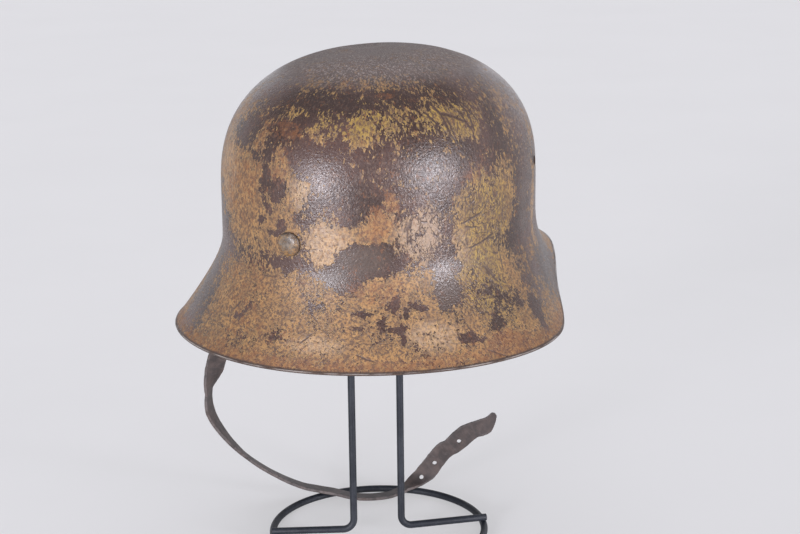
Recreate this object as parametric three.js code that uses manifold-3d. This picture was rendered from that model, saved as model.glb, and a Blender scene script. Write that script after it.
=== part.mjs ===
// Steel helmet with a leather chin strap, resting on a plain wire stand.
// Millimetres, +Z up, floor at z = 0. The helmet looks towards -Y, so its wearer's left is +X.

import * as THREE from "three";
import { mergeVertices } from "three/addons/utils/BufferGeometryUtils.js";
import Module from "manifold-3d";

const wasm = await Module();
wasm.setup();

// Shell
const sheet = 1.2;
const domeHalfLength = 113;
const domeHalfWidth = 93.5;
const crownHeight = 170;
const domeBaseHeight = 91;
const domeFullness = 2.42;
const flareBend = 17;
const flareTension = 0.75;
const rimLift = 150;
const shellSectors = 64;
const domeRows = 11;
const wallRows = 2;
const flareRows = 8;

// Rim and knee of the pressed shell, a row for each azimuth from the front; heights from the ear rim
const RIM_SECTIONS = [
  { azimuth: 0, rimRadius: 147, rimHeight: 32, kneeHeight: 53 },
  { azimuth: 25, rimRadius: 135.5, rimHeight: 31.5, kneeHeight: 50.5 },
  { azimuth: 45, rimRadius: 118, rimHeight: 26, kneeHeight: 49 },
  { azimuth: 60, rimRadius: 111.5, rimHeight: 16.5, kneeHeight: 49.5 },
  { azimuth: 75, rimRadius: 116, rimHeight: 3, kneeHeight: 47.5 },
  { azimuth: 95, rimRadius: 124, rimHeight: 1.5, kneeHeight: 45.5 },
  { azimuth: 120, rimRadius: 130, rimHeight: 2, kneeHeight: 45 },
  { azimuth: 150, rimRadius: 134.5, rimHeight: 2.5, kneeHeight: 42.5 },
  { azimuth: 180, rimRadius: 137, rimHeight: 2.5, kneeHeight: 43 },
];

// Dents in the crown, placed by x and y from the helmet's axis
const CROWN_DENTS = [
  { x: 14, y: 18, radius: 30, depth: 1.4 },
  { x: 16, y: -12, radius: 19, depth: 2 },
  { x: -38, y: 12, radius: 18, depth: 1 },
];

// Vents and rivets
const ventDiameter = 6;
const ventHeight = 100;
const ventAzimuth = 68;
const rivetHeight = 71.5;
const frontRivetAzimuth = 34;
const rivetHeadDiameter = 14.4;
const rivetHeadHeight = 3;
const rivetShankDiameter = 4.4;
const rivetTailDiameter = 9;
const rivetTailHeight = 1;
const roundSides = 20;
const drillLength = 8;
const pieceGap = 0.3;

// The strap and the stand are laid out on axes turned from the helmet's: across, behind and height
const layoutTurn = 207.5;

// Chin strap
const strapWidth = 13.6;
const strapThickness = 2;
const strapSteps = 96;
const strapHoleDiameter = 3;
const STRAP_HOLES = [{ fromTip: 29 }, { fromTip: 52 }, { fromTip: 67 }];
const STRAP_TIP = [
  { fromTip: 0, share: 0.62 },
  { fromTip: 2, share: 0.86 },
  { fromTip: 5, share: 1 },
];

// Route of the strap's middle line; roll turns its width about that line, in degrees
const STRAP_ROUTE = [
  { across: -79, behind: 41.1, height: 227.5, roll: -27.5 },
  { across: -79, behind: 41.1, height: 212, roll: -27.5 },
  { across: -81.5, behind: 41, height: 195, roll: -29 },
  { across: -89.5, behind: 40.8, height: 171, roll: -34 },
  { across: -99.5, behind: 41.4, height: 144, roll: -44 },
  { across: -107.5, behind: 42.4, height: 119, roll: -54 },
  { across: -113, behind: 44, height: 99.5, roll: -42 },
  { across: -117, behind: 46, height: 83, roll: -10 },
  { across: -117.4, behind: 47, height: 69, roll: 6 },
  { across: -110, behind: 49, height: 52, roll: 10 },
  { across: -95, behind: 52, height: 34.5, roll: 10 },
  { across: -77, behind: 55.5, height: 20.5, roll: 10 },
  { across: -58, behind: 58, height: 10.6, roll: 9 },
  { across: -46, behind: 56, height: 7.8, roll: 8 },
  { across: -35, behind: 53.5, height: 6.6, roll: 8 },
  { across: -22, behind: 52, height: 3.8, roll: 8 },
  { across: -8, behind: 53, height: 2.8, roll: 8 },
  { across: 5, behind: 56, height: 3.8, roll: 6 },
  { across: 14, behind: 60, height: 6.9, roll: -4 },
  { across: 21, behind: 63, height: 11.5, roll: -50 },
  { across: 27, behind: 65, height: 17, roll: -84 },
  { across: 35, behind: 66, height: 24, roll: -90 },
  { across: 43.5, behind: 66, height: 32, roll: -90 },
  { across: 52.5, behind: 66, height: 39.4, roll: -90 },
  { across: 61, behind: 66, height: 45.4, roll: -90 },
  { across: 69, behind: 66, height: 49.8, roll: -90 },
  { across: 75, behind: 66, height: 53.6, roll: -90 },
];

// Clasp that carries the strap inside the shell
const bailWidth = 18;
const bailHeight = 14;
const bailPlate = 1.2;
const bailSlotDepth = 11.5;
const bailBottom = 66;

// Stand
const wireDiameter = 4.6;
const wireSides = 10;
const ringRadius = 69.3;
const ringSectors = 48;
const ringAcross = -4.6;
const weld = 0.4;
const rodBend = 7;
const bendSteps = 5;
const seatShare = 0.55;
const seatGap = 0.6;
const seatSectors = 48;
const RODS = [
  { footAcross: -74, footBehind: -13.4, across: -20.6, behind: -11, side: -1 },
  { footAcross: 66.4, footBehind: 6.2, across: 10.3, behind: -6.8, side: 1 },
];

const UP = new THREE.Vector3(0, 0, 1);
const rad = THREE.MathUtils.degToRad;

function turned(across, behind, height) {
  return new THREE.Vector3(across, behind, height).applyAxisAngle(UP, rad(layoutTurn));
}

// Closed solids and boolean cuts

function solidOf(geometry) {
  const bare = geometry.clone();
  bare.deleteAttribute("normal");
  bare.deleteAttribute("uv");
  const merged = mergeVertices(bare, 1e-4);
  const triVerts = [];
  for (let i = 0; i < merged.index.count; i += 3) {
    const [a, b, c] = [0, 1, 2].map((k) => merged.index.getX(i + k));
    if (a !== b && b !== c && c !== a) triVerts.push(a, b, c);
  }
  const vertProperties = Float32Array.from(merged.attributes.position.array);
  const mesh = new wasm.Mesh({ numProp: 3, vertProperties, triVerts: Uint32Array.from(triVerts) });
  return new wasm.Manifold(mesh);
}

function geometryOf(solid) {
  const mesh = solid.getMesh();
  return meshGeometry(Array.from(mesh.vertProperties), Array.from(mesh.triVerts));
}

function meshGeometry(positions, indices) {
  const geometry = new THREE.BufferGeometry();
  geometry.setAttribute("position", new THREE.Float32BufferAttribute(positions, 3));
  geometry.setIndex(indices);
  geometry.computeVertexNormals();
  return geometry;
}

// Quads between two rings of equal count, ring a first along the surface
function bridge(indices, a, b, count) {
  for (let i = 0; i < count; i += 1) {
    const j = (i + 1) % count;
    indices.push(a + i, b + i, b + j, a + i, b + j, a + j);
  }
}

// Section swept through stations { at, side, up }, closed on itself or with flat ends
function sweep(stations, sectionAt, closed) {
  const positions = [];
  const indices = [];
  const count = sectionAt(0).length;
  stations.forEach(({ at, side, up }, k) => {
    for (const [a, b] of sectionAt(k)) {
      const point = at.clone().addScaledVector(side, a).addScaledVector(up, b);
      positions.push(point.x, point.y, point.z);
    }
  });
  const last = stations.length - 1;
  for (let k = 0; k < last; k += 1) bridge(indices, (k + 1) * count, k * count, count);
  if (closed) {
    bridge(indices, 0, last * count, count);
  } else {
    for (let i = 1; i < count - 1; i += 1) {
      indices.push(0, i + 1, i);
      indices.push(last * count, last * count + i, last * count + i + 1);
    }
  }
  return meshGeometry(positions, indices);
}

// Regular section of the wire with a flat side downwards, its flats one wire diameter apart
function wireSection() {
  const reach = wireDiameter / 2 / Math.cos(Math.PI / wireSides);
  return Array.from({ length: wireSides }, (_, i) => {
    const angle = -Math.PI / 2 + (Math.PI / wireSides) * (2 * i + 1);
    return [reach * Math.cos(angle), reach * Math.sin(angle)];
  });
}

// Shape of the shell

function slopeAt(column, i) {
  if (i === 0 || i === RIM_SECTIONS.length - 1) return 0;
  const before = RIM_SECTIONS[i - 1];
  const after = RIM_SECTIONS[i + 1];
  return (after[column] - before[column]) / (after.azimuth - before.azimuth);
}

// A column of the rim table at any azimuth, the same on both sides, on a smooth curve through the rows
function rimValue(column, azimuth) {
  const fold = azimuth > 180 ? 360 - azimuth : azimuth;
  let i = 0;
  while (i < RIM_SECTIONS.length - 2 && fold > RIM_SECTIONS[i + 1].azimuth) i += 1;
  const from = RIM_SECTIONS[i];
  const to = RIM_SECTIONS[i + 1];
  const span = to.azimuth - from.azimuth;
  const t = (fold - from.azimuth) / span;
  const rest = 1 - t;
  return (
    (1 + 2 * t) * rest * rest * from[column] +
    t * rest * rest * span * slopeAt(column, i) +
    t * t * (3 - 2 * t) * to[column] -
    t * t * rest * span * slopeAt(column, i + 1)
  );
}

function dentDepth(x, y) {
  let depth = 0;
  for (const dent of CROWN_DENTS) {
    const share = Math.hypot(x - dent.x, y - dent.y) / dent.radius;
    if (share < 1) depth += dent.depth * (1 - share * share) ** 2;
  }
  return depth;
}

// Radius and height of the outer face: s is 0 to 1 down the dome, to 2 down the wall, to 3 over the flare
function profileAt(azimuth, s) {
  const dx = Math.sin(rad(azimuth));
  const dy = Math.cos(rad(azimuth));
  const wallRadius = 1 / Math.hypot(dx / domeHalfWidth, dy / domeHalfLength);
  const knee = rimValue("kneeHeight", azimuth);
  if (s <= 1) {
    const angle = (s * Math.PI) / 2;
    const power = 2 / domeFullness;
    const radius = wallRadius * Math.sin(angle) ** power;
    const rise = (crownHeight - domeBaseHeight) * Math.max(Math.cos(angle), 0) ** power;
    return { radius, height: domeBaseHeight + rise };
  }
  const bendTop = knee + flareBend;
  if (s <= 2) return { radius: wallRadius, height: THREE.MathUtils.lerp(domeBaseHeight, bendTop, s - 1) };
  const rimRadius = rimValue("rimRadius", azimuth);
  const rimHeight = rimValue("rimHeight", azimuth);
  const flare = new THREE.CubicBezierCurve(
    new THREE.Vector2(wallRadius, bendTop),
    new THREE.Vector2(wallRadius, THREE.MathUtils.lerp(bendTop, knee, flareTension)),
    new THREE.Vector2(
      THREE.MathUtils.lerp(rimRadius, wallRadius, flareTension),
      THREE.MathUtils.lerp(rimHeight, knee, flareTension),
    ),
    new THREE.Vector2(rimRadius, rimHeight),
  );
  const point = flare.getPoint(s - 2);
  return { radius: point.x, height: point.y };
}

function shellPoint(azimuth, s) {
  const { radius, height } = profileAt(azimuth, s);
  const x = radius * Math.sin(rad(azimuth));
  const y = -radius * Math.cos(rad(azimuth));
  return new THREE.Vector3(x, y, rimLift + height - dentDepth(x, y));
}

// Outward normal of the outer face, from points a small step to each side
function shellNormal(azimuth, s) {
  if (s === 0) return UP.clone();
  const turnStep = 0.05;
  const downStep = 0.002;
  const down = shellPoint(azimuth, Math.min(s + downStep, 3)).sub(shellPoint(azimuth, s - downStep));
  const along = shellPoint(azimuth + turnStep, s).sub(shellPoint(azimuth - turnStep, s));
  return down.cross(along).normalize();
}

// s on the dome where its radius is a given share of the wall's, and where it has a given height
function domeAtShare(share) {
  return (Math.asin(share ** (domeFullness / 2)) * 2) / Math.PI;
}

function domeAtHeight(height) {
  const rise = (height - domeBaseHeight) / (crownHeight - domeBaseHeight);
  return (Math.acos(rise ** (domeFullness / 2)) * 2) / Math.PI;
}

function wallAtHeight(azimuth, height) {
  const bendTop = rimValue("kneeHeight", azimuth) + flareBend;
  return 1 + (domeBaseHeight - height) / (domeBaseHeight - bendTop);
}

function shellRows() {
  const rows = [];
  for (let i = 1; i <= domeRows; i += 1) rows.push(i / domeRows);
  for (let i = 1; i <= wallRows; i += 1) rows.push(1 + i / wallRows);
  for (let i = 1; i <= flareRows; i += 1) rows.push(2 + i / flareRows);
  return rows;
}

function shellSheet() {
  const rows = shellRows();
  const positions = [];
  const indices = [];
  const put = (azimuth, s, depth) => {
    const point = shellPoint(azimuth, s).addScaledVector(shellNormal(azimuth, s), -depth);
    positions.push(point.x, point.y, point.z);
  };
  const ringStart = (face, row) => face * (1 + rows.length * shellSectors) + 1 + row * shellSectors;
  for (const depth of [0, sheet]) {
    put(0, 0, depth);
    for (const s of rows) {
      for (let i = 0; i < shellSectors; i += 1) put((i * 360) / shellSectors, s, depth);
    }
  }
  const lastRow = rows.length - 1;
  for (let i = 0; i < shellSectors; i += 1) {
    const j = (i + 1) % shellSectors;
    indices.push(ringStart(0, 0) - 1, ringStart(0, 0) + i, ringStart(0, 0) + j);
    indices.push(ringStart(1, 0) - 1, ringStart(1, 0) + j, ringStart(1, 0) + i);
  }
  for (let row = 0; row < lastRow; row += 1) {
    bridge(indices, ringStart(0, row), ringStart(0, row + 1), shellSectors);
    bridge(indices, ringStart(1, row + 1), ringStart(1, row), shellSectors);
  }
  bridge(indices, ringStart(0, lastRow), ringStart(1, lastRow), shellSectors);
  return meshGeometry(positions, indices);
}

// Turns a piece made along +Y so that it points out of the shell at a place on its outer face
function setOnShell(geometry, azimuth, s) {
  const normal = shellNormal(azimuth, s);
  const turn = new THREE.Quaternion().setFromUnitVectors(new THREE.Vector3(0, 1, 0), normal);
  geometry.applyQuaternion(turn);
  const place = shellPoint(azimuth, s);
  return geometry.translate(place.x, place.y, place.z);
}

const RIVETS = [
  { name: "rear_rivet", azimuth: 180 },
  { name: "right_rivet", azimuth: 360 - frontRivetAzimuth },
  { name: "left_rivet", azimuth: frontRivetAzimuth },
];

function drill(diameter, azimuth, s) {
  const rod = new THREE.CylinderGeometry(diameter / 2, diameter / 2, drillLength, roundSides);
  return solidOf(setOnShell(rod, azimuth, s));
}

function helmetShell() {
  let shell = solidOf(shellSheet());
  for (const azimuth of [ventAzimuth, 360 - ventAzimuth]) {
    shell = shell.subtract(drill(ventDiameter, azimuth, domeAtHeight(ventHeight)));
  }
  for (const { azimuth } of RIVETS) {
    const s = wallAtHeight(azimuth, rivetHeight);
    shell = shell.subtract(drill(rivetShankDiameter + 2 * pieceGap, azimuth, s));
  }
  return geometryOf(shell);
}

// Rivet: domed head outside, shank through the sheet, flat tail inside
function rivet(azimuth) {
  const headSteps = 6;
  const inside = -sheet - pieceGap;
  const shank = rivetShankDiameter / 2;
  const tail = rivetTailDiameter / 2;
  const profile = [
    new THREE.Vector2(0, inside - rivetTailHeight),
    new THREE.Vector2(tail, inside - rivetTailHeight),
    new THREE.Vector2(tail, inside),
    new THREE.Vector2(shank, inside),
    new THREE.Vector2(shank, pieceGap),
  ];
  for (let i = 0; i <= headSteps; i += 1) {
    const angle = (i / headSteps) * (Math.PI / 2);
    const radius = i === headSteps ? 0 : (rivetHeadDiameter / 2) * Math.cos(angle);
    profile.push(new THREE.Vector2(radius, pieceGap + rivetHeadHeight * Math.sin(angle)));
  }
  const pin = new THREE.LatheGeometry(profile, roundSides);
  return setOnShell(pin, azimuth, wallAtHeight(azimuth, rivetHeight));
}

// Clasp: a strip folded over the strap's end, its back against the shell's inner wall
function strapBail() {
  const slot = strapThickness + 2 * pieceGap;
  const deep = slot + 2 * bailPlate;
  const outline = new THREE.Shape([
    new THREE.Vector2(0, 0),
    new THREE.Vector2(bailPlate, 0),
    new THREE.Vector2(bailPlate, bailSlotDepth),
    new THREE.Vector2(bailPlate + slot, bailSlotDepth),
    new THREE.Vector2(bailPlate + slot, 0),
    new THREE.Vector2(deep, 0),
    new THREE.Vector2(deep, bailHeight),
    new THREE.Vector2(0, bailHeight),
  ]);
  const clip = new THREE.ExtrudeGeometry(outline, { depth: bailWidth, bevelEnabled: false });
  clip.rotateX(Math.PI / 2);
  const middle = turned(STRAP_ROUTE[0].across, STRAP_ROUTE[0].behind, 0);
  return clip.translate(middle.x - deep / 2, middle.y + bailWidth / 2, rimLift + bailBottom);
}

// Chin strap: a flat ribbon along its route

function strapRoute() {
  const points = STRAP_ROUTE.map((row) => new THREE.Vector3(row.across, row.behind, row.height));
  return new THREE.CatmullRomCurve3(points, false, "centripetal");
}

// Place on the strap at a distance from its tip: middle point, direction of its width, and of its face
function stationAt(route, fromTip) {
  const rows = STRAP_ROUTE.length - 1;
  const t = route.getUtoTmapping(1 - fromTip / route.getLength());
  const i = Math.min(Math.floor(t * rows), rows - 1);
  const roll = rad(THREE.MathUtils.lerp(STRAP_ROUTE[i].roll, STRAP_ROUTE[i + 1].roll, t * rows - i));
  const along = route.getTangent(t);
  const level = new THREE.Vector3(0, 1, 0).addScaledVector(along, -along.y).normalize();
  const outer = level.clone().cross(along);
  const side = level.clone().multiplyScalar(Math.cos(roll)).addScaledVector(outer, Math.sin(roll));
  const up = along.clone().cross(side);
  const at = route.getPoint(t);
  for (const vector of [at, side, up]) vector.applyAxisAngle(UP, rad(layoutTurn));
  return { at, side, up, fromTip };
}

function tipShare(fromTip) {
  const end = STRAP_TIP.length - 1;
  if (fromTip >= STRAP_TIP[end].fromTip) return 1;
  let i = 0;
  while (fromTip > STRAP_TIP[i + 1].fromTip) i += 1;
  const from = STRAP_TIP[i];
  const to = STRAP_TIP[i + 1];
  return THREE.MathUtils.mapLinear(fromTip, from.fromTip, to.fromTip, from.share, to.share);
}

function strapSection(fromTip) {
  const halfWidth = (strapWidth / 2) * tipShare(fromTip);
  const half = strapThickness / 2;
  return [
    [halfWidth, -half],
    [halfWidth, half],
    [-halfWidth, half],
    [-halfWidth, -half],
  ];
}

function chinStrap() {
  const route = strapRoute();
  const length = route.getLength();
  const stations = [];
  for (let k = 0; k <= strapSteps; k += 1) stations.push(stationAt(route, length * (1 - k / strapSteps)));
  let strap = solidOf(sweep(stations, (k) => strapSection(stations[k].fromTip), false));
  for (const { fromTip } of STRAP_HOLES) {
    const place = stationAt(route, fromTip);
    const radius = strapHoleDiameter / 2;
    const punch = new THREE.CylinderGeometry(radius, radius, drillLength, roundSides);
    punch.applyQuaternion(new THREE.Quaternion().setFromUnitVectors(new THREE.Vector3(0, 1, 0), place.up));
    punch.translate(place.at.x, place.at.y, place.at.z);
    strap = strap.subtract(solidOf(punch));
  }
  return geometryOf(strap);
}

// Stand: base ring, two bent rods and the seat loop under the crown, welded

function baseRing() {
  const section = wireSection().map(([a, b]) => new THREE.Vector2(ringRadius + a, b));
  const ring = new THREE.LatheGeometry([...section, section[0].clone()], ringSectors);
  ring.rotateX(Math.PI / 2);
  const centre = turned(ringAcross, 0, wireDiameter / 2);
  return ring.translate(centre.x, centre.y, centre.z);
}

// Middle line of the seat loop, set in from the dome's inner face
function seatLine() {
  const s = domeAtShare(seatShare);
  const reach = wireDiameter / 2 / Math.cos(Math.PI / wireSides);
  return Array.from({ length: seatSectors }, (_, i) => {
    const azimuth = (i * 360) / seatSectors;
    return shellPoint(azimuth, s).addScaledVector(shellNormal(azimuth, s), -(sheet + seatGap + reach));
  });
}

function seatLoop(line) {
  const stations = line.map((at, i) => {
    const next = line[(i + 1) % seatSectors];
    const before = line[(i + seatSectors - 1) % seatSectors];
    const along = next.clone().sub(before).normalize();
    const side = UP.clone().cross(along).normalize();
    return { at, side, up: along.clone().cross(side) };
  });
  return sweep(stations, wireSection, true);
}

// Middle line of a rod, its corners rounded to the bend radius
function rounded(corners) {
  const line = [corners[0]];
  for (let i = 1; i < corners.length - 1; i += 1) {
    const corner = corners[i];
    const back = corners[i - 1].clone().sub(corner).normalize();
    const ahead = corners[i + 1].clone().sub(corner).normalize();
    const half = back.angleTo(ahead) / 2;
    const middle = back.clone().add(ahead).normalize();
    const centre = corner.clone().addScaledVector(middle, rodBend / Math.sin(half));
    const from = corner.clone().addScaledVector(back, rodBend / Math.tan(half)).sub(centre);
    const to = corner.clone().addScaledVector(ahead, rodBend / Math.tan(half)).sub(centre);
    const sweepAngle = Math.PI - 2 * half;
    for (let k = 0; k <= bendSteps; k += 1) {
      const t = k / bendSteps;
      const spoke = from.clone().multiplyScalar(Math.sin((1 - t) * sweepAngle));
      spoke.addScaledVector(to, Math.sin(t * sweepAngle));
      line.push(centre.clone().addScaledVector(spoke, 1 / Math.sin(sweepAngle)));
    }
  }
  line.push(corners[corners.length - 1]);
  return line;
}

function rodAlong(line) {
  let side = new THREE.Vector3(0, 0, 1);
  const stations = line.map((at, i) => {
    const before = line[Math.max(i - 1, 0)];
    const next = line[Math.min(i + 1, line.length - 1)];
    const along = next.clone().sub(before).normalize();
    side = side.clone().addScaledVector(along, -side.dot(along)).normalize();
    return { at, side, up: along.clone().cross(side) };
  });
  return sweep(stations, wireSection, false);
}

// Place on the seat loop, seen from above, where an arm leaving a rod across the stand meets it
function armEnd(line, rod, height) {
  const outwards = turned(rod.side, 0, 0);
  const start = turned(rod.across, rod.behind, height);
  let best = null;
  let bestAngle = Infinity;
  for (const point of line) {
    const reach = point.clone().setZ(height).sub(start);
    const angle = reach.angleTo(outwards);
    if (angle < bestAngle) {
      bestAngle = angle;
      best = point;
    }
  }
  return best.clone().setZ(height);
}

function wireStand() {
  const seat = seatLine();
  const footHeight = 1.5 * wireDiameter - weld;
  const armHeight = seat[0].z - wireDiameter + weld;
  let stand = solidOf(baseRing()).add(solidOf(seatLoop(seat)));
  for (const rod of RODS) {
    const line = rounded([
      turned(rod.footAcross, rod.footBehind, footHeight),
      turned(rod.across, rod.behind, footHeight),
      turned(rod.across, rod.behind, armHeight),
      armEnd(seat, rod, armHeight),
    ]);
    stand = stand.add(solidOf(rodAlong(line)));
  }
  return geometryOf(stand);
}

// Assembly

const paintedSteel = new THREE.MeshStandardMaterial({ color: 0x6b5636, roughness: 0.5, metalness: 0.3 });
const rivetSteel = new THREE.MeshStandardMaterial({ color: 0x6a4f38, roughness: 0.5, metalness: 0.4 });
const bareSteel = new THREE.MeshStandardMaterial({ color: 0x55504a, roughness: 0.5, metalness: 0.7 });
const leather = new THREE.MeshStandardMaterial({ color: 0x37332f, roughness: 0.75, metalness: 0 });
const blackWire = new THREE.MeshStandardMaterial({ color: 0x1d2024, roughness: 0.45, metalness: 0.2 });

const assembly = new THREE.Group();

function addPiece(name, geometry, material) {
  const mesh = new THREE.Mesh(geometry, material);
  mesh.name = name;
  assembly.add(mesh);
}

addPiece("helmet_shell", helmetShell(), paintedSteel);
for (const { name, azimuth } of RIVETS) addPiece(name, rivet(azimuth), rivetSteel);
addPiece("strap_bail", strapBail(), bareSteel);
addPiece("chin_strap", chinStrap(), leather);
addPiece("wire_stand", wireStand(), blackWire);

// The origin lies on the floor under the middle of the whole object
const middle = new THREE.Box3().setFromObject(assembly, true).getCenter(new THREE.Vector3());
assembly.position.set(-middle.x, -middle.y, 0);

const part = new THREE.Group();
part.add(assembly);

export default part;
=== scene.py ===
# %% [markdown]
# # A worn steel helmet on its wire stand
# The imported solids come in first, as a fixed frame. Each piece that shows is then modelled again in
# finer detail at the same place, and given a finish made of shader nodes. Lengths are metres, +Z is
# up, the floor is at zero, and the helmet looks towards -Y.

# %% Load the frame
import math

import bmesh
import bpy
import numpy as np
from mathutils import Matrix, Vector, noise


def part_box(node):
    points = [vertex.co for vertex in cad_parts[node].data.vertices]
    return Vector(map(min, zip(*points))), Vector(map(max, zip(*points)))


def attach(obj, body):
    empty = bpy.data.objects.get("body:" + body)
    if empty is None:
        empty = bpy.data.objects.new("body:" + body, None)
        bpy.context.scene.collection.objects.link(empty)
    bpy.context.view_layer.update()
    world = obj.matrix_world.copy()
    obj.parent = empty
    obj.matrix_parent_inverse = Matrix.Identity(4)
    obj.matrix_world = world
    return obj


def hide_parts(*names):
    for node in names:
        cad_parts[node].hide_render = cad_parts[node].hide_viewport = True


MM = 0.001
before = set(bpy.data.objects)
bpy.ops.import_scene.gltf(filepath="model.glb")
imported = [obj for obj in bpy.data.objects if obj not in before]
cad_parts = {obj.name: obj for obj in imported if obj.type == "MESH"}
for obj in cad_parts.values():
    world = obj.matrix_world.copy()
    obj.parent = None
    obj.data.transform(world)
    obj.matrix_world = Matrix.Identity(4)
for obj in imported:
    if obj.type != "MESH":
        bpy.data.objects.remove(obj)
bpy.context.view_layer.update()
print("solids in the frame:", sorted(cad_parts))

# %% [markdown]
# ## Camera
# The picture was taken from behind the helmet, a little to the wearer's right and from above. A
# camera can be aimed by eye, but here its place and lens were worked out from the rim, the crown
# and the stand, so the values are simply typed in. Azimuth runs round from the front, elevation is
# the downward look.

# %% Set up the camera
CAMERA_PLACE = (-0.5492, 1.0308, 0.4938)
CAMERA_AZIMUTH = math.radians(207.45)
CAMERA_ELEVATION = math.radians(15.12)
CAMERA_ROLL = math.radians(-0.70)
CAMERA_LENS = 85.49
SENSOR_WIDTH = 36

look = Matrix.Rotation(CAMERA_AZIMUTH, 3, "Z")
look @= Matrix.Rotation(math.pi / 2 - CAMERA_ELEVATION, 3, "X")
look @= Matrix.Rotation(CAMERA_ROLL, 3, "Z")
bpy.ops.object.select_all(action="DESELECT")
bpy.ops.object.camera_add(location=CAMERA_PLACE, rotation=look.to_euler())
camera = bpy.context.object
camera.data.sensor_fit = "HORIZONTAL"
camera.data.sensor_width = SENSOR_WIDTH
camera.data.lens = CAMERA_LENS
bpy.context.scene.camera = camera
print("camera at", CAMERA_PLACE, "lens", CAMERA_LENS, "mm")

# %% [markdown]
# ## Floor and light
# The light in the picture is soft and comes from two sides at about the height of the helmet: each
# side leaves one broad shine on the back of the dome. Lamps could be hung at real distances, but
# then the near floor burns out. Far lights with a wide face give the same shine. A weak one
# overhead evens out the floor, and a weak one from beyond the helmet draws its skyline. One small
# box stands low on the left, because the left shine runs on down the wall, and its narrow spread
# keeps it off the floor. A surrounding that is bright at eye level and dimmer above, as in a room
# with pale walls, fills the shadows.

# %% Lay the floor
FLOOR_SIZE = 12.0

bpy.ops.mesh.primitive_plane_add(size=FLOOR_SIZE)
floor = bpy.context.object
floor.name = "floor"
print("floor", FLOOR_SIZE, "m wide")

# %% Hang the soft lights
LIGHT_REACH = 3.0
# name, azimuth, elevation and width of the face in degrees, and strength
SOFT_LIGHTS = (
    ("left_light", 177, 7, 17, 3.4),
    ("right_light", 264, 6, 17, 3.4),
    ("overhead_light", 200, 88, 75, 0.35),
    ("back_light", 25, 10, 60, 0.34),
)
LIGHT_TINT = (0.95, 0.93, 1.0)

for name, azimuth, elevation, face, strength in SOFT_LIGHTS:
    a = math.radians(azimuth)
    e = math.radians(elevation)
    towards = Vector((math.sin(a) * math.cos(e), -math.cos(a) * math.cos(e), math.sin(e)))
    bpy.ops.object.light_add(type="SUN", location=towards * LIGHT_REACH)
    light = bpy.context.object
    light.name = name
    light.rotation_euler = towards.to_track_quat("Z", "Y").to_euler()
    light.data.angle = math.radians(face)
    light.data.energy = strength
    light.data.color = LIGHT_TINT
    print(name, "from", [round(v, 2) for v in towards])

# %% Stand the low box
BOX_PLACE = Vector((-0.21, 0.93, 0.13))
BOX_AIM = Vector((-0.03, 0.11, 0.25))
BOX_SIZE = 0.22
BOX_POWER = 0.15
BOX_SPREAD = math.radians(60)

bpy.ops.object.light_add(type="AREA", location=BOX_PLACE)
low_box = bpy.context.object
low_box.name = "low_box"
low_box.rotation_euler = (BOX_PLACE - BOX_AIM).to_track_quat("Z", "Y").to_euler()
low_box.data.size = BOX_SIZE
low_box.data.energy = BOX_POWER
low_box.data.spread = BOX_SPREAD
low_box.data.color = LIGHT_TINT
low_box.visible_camera = False
print("low box", BOX_SIZE, "m wide")

# %% Fill the surrounding
WALL_STRENGTH = 0.90
CEILING_STRENGTH = 0.36
WALL_TOP = 0.2
CEILING_EDGE = 0.75
FILL_TINT = (0.95, 0.95, 1.0, 1)

world = bpy.data.worlds.new("studio_fill")
bpy.context.scene.world = world
world.use_nodes = True
nodes = world.node_tree.nodes
links = world.node_tree.links
split = nodes.new("ShaderNodeSeparateXYZ")
links.new(nodes.new("ShaderNodeTexCoord").outputs["Generated"], split.inputs[0])
rise = nodes.new("ShaderNodeMapRange")
rise.interpolation_type = "SMOOTHSTEP"
rise.inputs["From Min"].default_value = WALL_TOP
rise.inputs["From Max"].default_value = CEILING_EDGE
rise.inputs["To Min"].default_value = WALL_STRENGTH
rise.inputs["To Max"].default_value = CEILING_STRENGTH
links.new(split.outputs["Z"], rise.inputs["Value"])
links.new(rise.outputs["Result"], nodes["Background"].inputs["Strength"])
nodes["Background"].inputs["Color"].default_value = FILL_TINT
print("surrounding from", WALL_STRENGTH, "at eye level to", CEILING_STRENGTH, "above")

# %% [markdown]
# ## Shape of the pressed shell
# The shell is one sheet of steel: a full dome, a short straight wall, then a flare that runs from
# the visor over the ears to a long neck guard. Its skin is worked out from two numbers, the azimuth
# and a share that counts 0 to 1 down the dome, to 2 down the wall and to 3 over the flare, so every
# later step can ask where the skin is.

# %% Sizes of the shell
SHEET = 1.2 * MM
DOME_HALF_LENGTH = 113 * MM
DOME_HALF_WIDTH = 93.5 * MM
CROWN_HEIGHT = 170 * MM
DOME_BASE = 91 * MM
DOME_FULLNESS = 2.42
FLARE_BEND = 17 * MM
FLARE_TENSION = 0.75
LIP_TURN = 0.7 * MM
LIP_START = 2.965
LIP_WAY = Vector((0.8, 0.6))
RIM_LIFT = 150 * MM
# azimuth from the front in degrees, then rim radius, rim height and knee height in millimetres
RIM_SECTIONS = (
    (0, 147, 32, 53),
    (25, 135.5, 31.5, 50.5),
    (45, 118, 26, 49),
    (60, 111.5, 16.5, 49.5),
    (75, 116, 3, 47.5),
    (95, 124, 1.5, 45.5),
    (120, 130, 2, 45),
    (150, 134.5, 2.5, 42.5),
    (180, 137, 2.5, 43),
)
RIM_RADIUS, RIM_HEIGHT, KNEE_HEIGHT = 1, 2, 3

shell_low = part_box("helmet_shell")[0]
rivet_low, rivet_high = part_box("rear_rivet")
visor_reach = RIM_SECTIONS[0][RIM_RADIUS] * MM
AXIS = Vector(((rivet_low[0] + rivet_high[0]) / 2, shell_low[1] + visor_reach, RIM_LIFT))
print("upright axis of the shell:", [round(v, 4) for v in AXIS])


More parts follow.
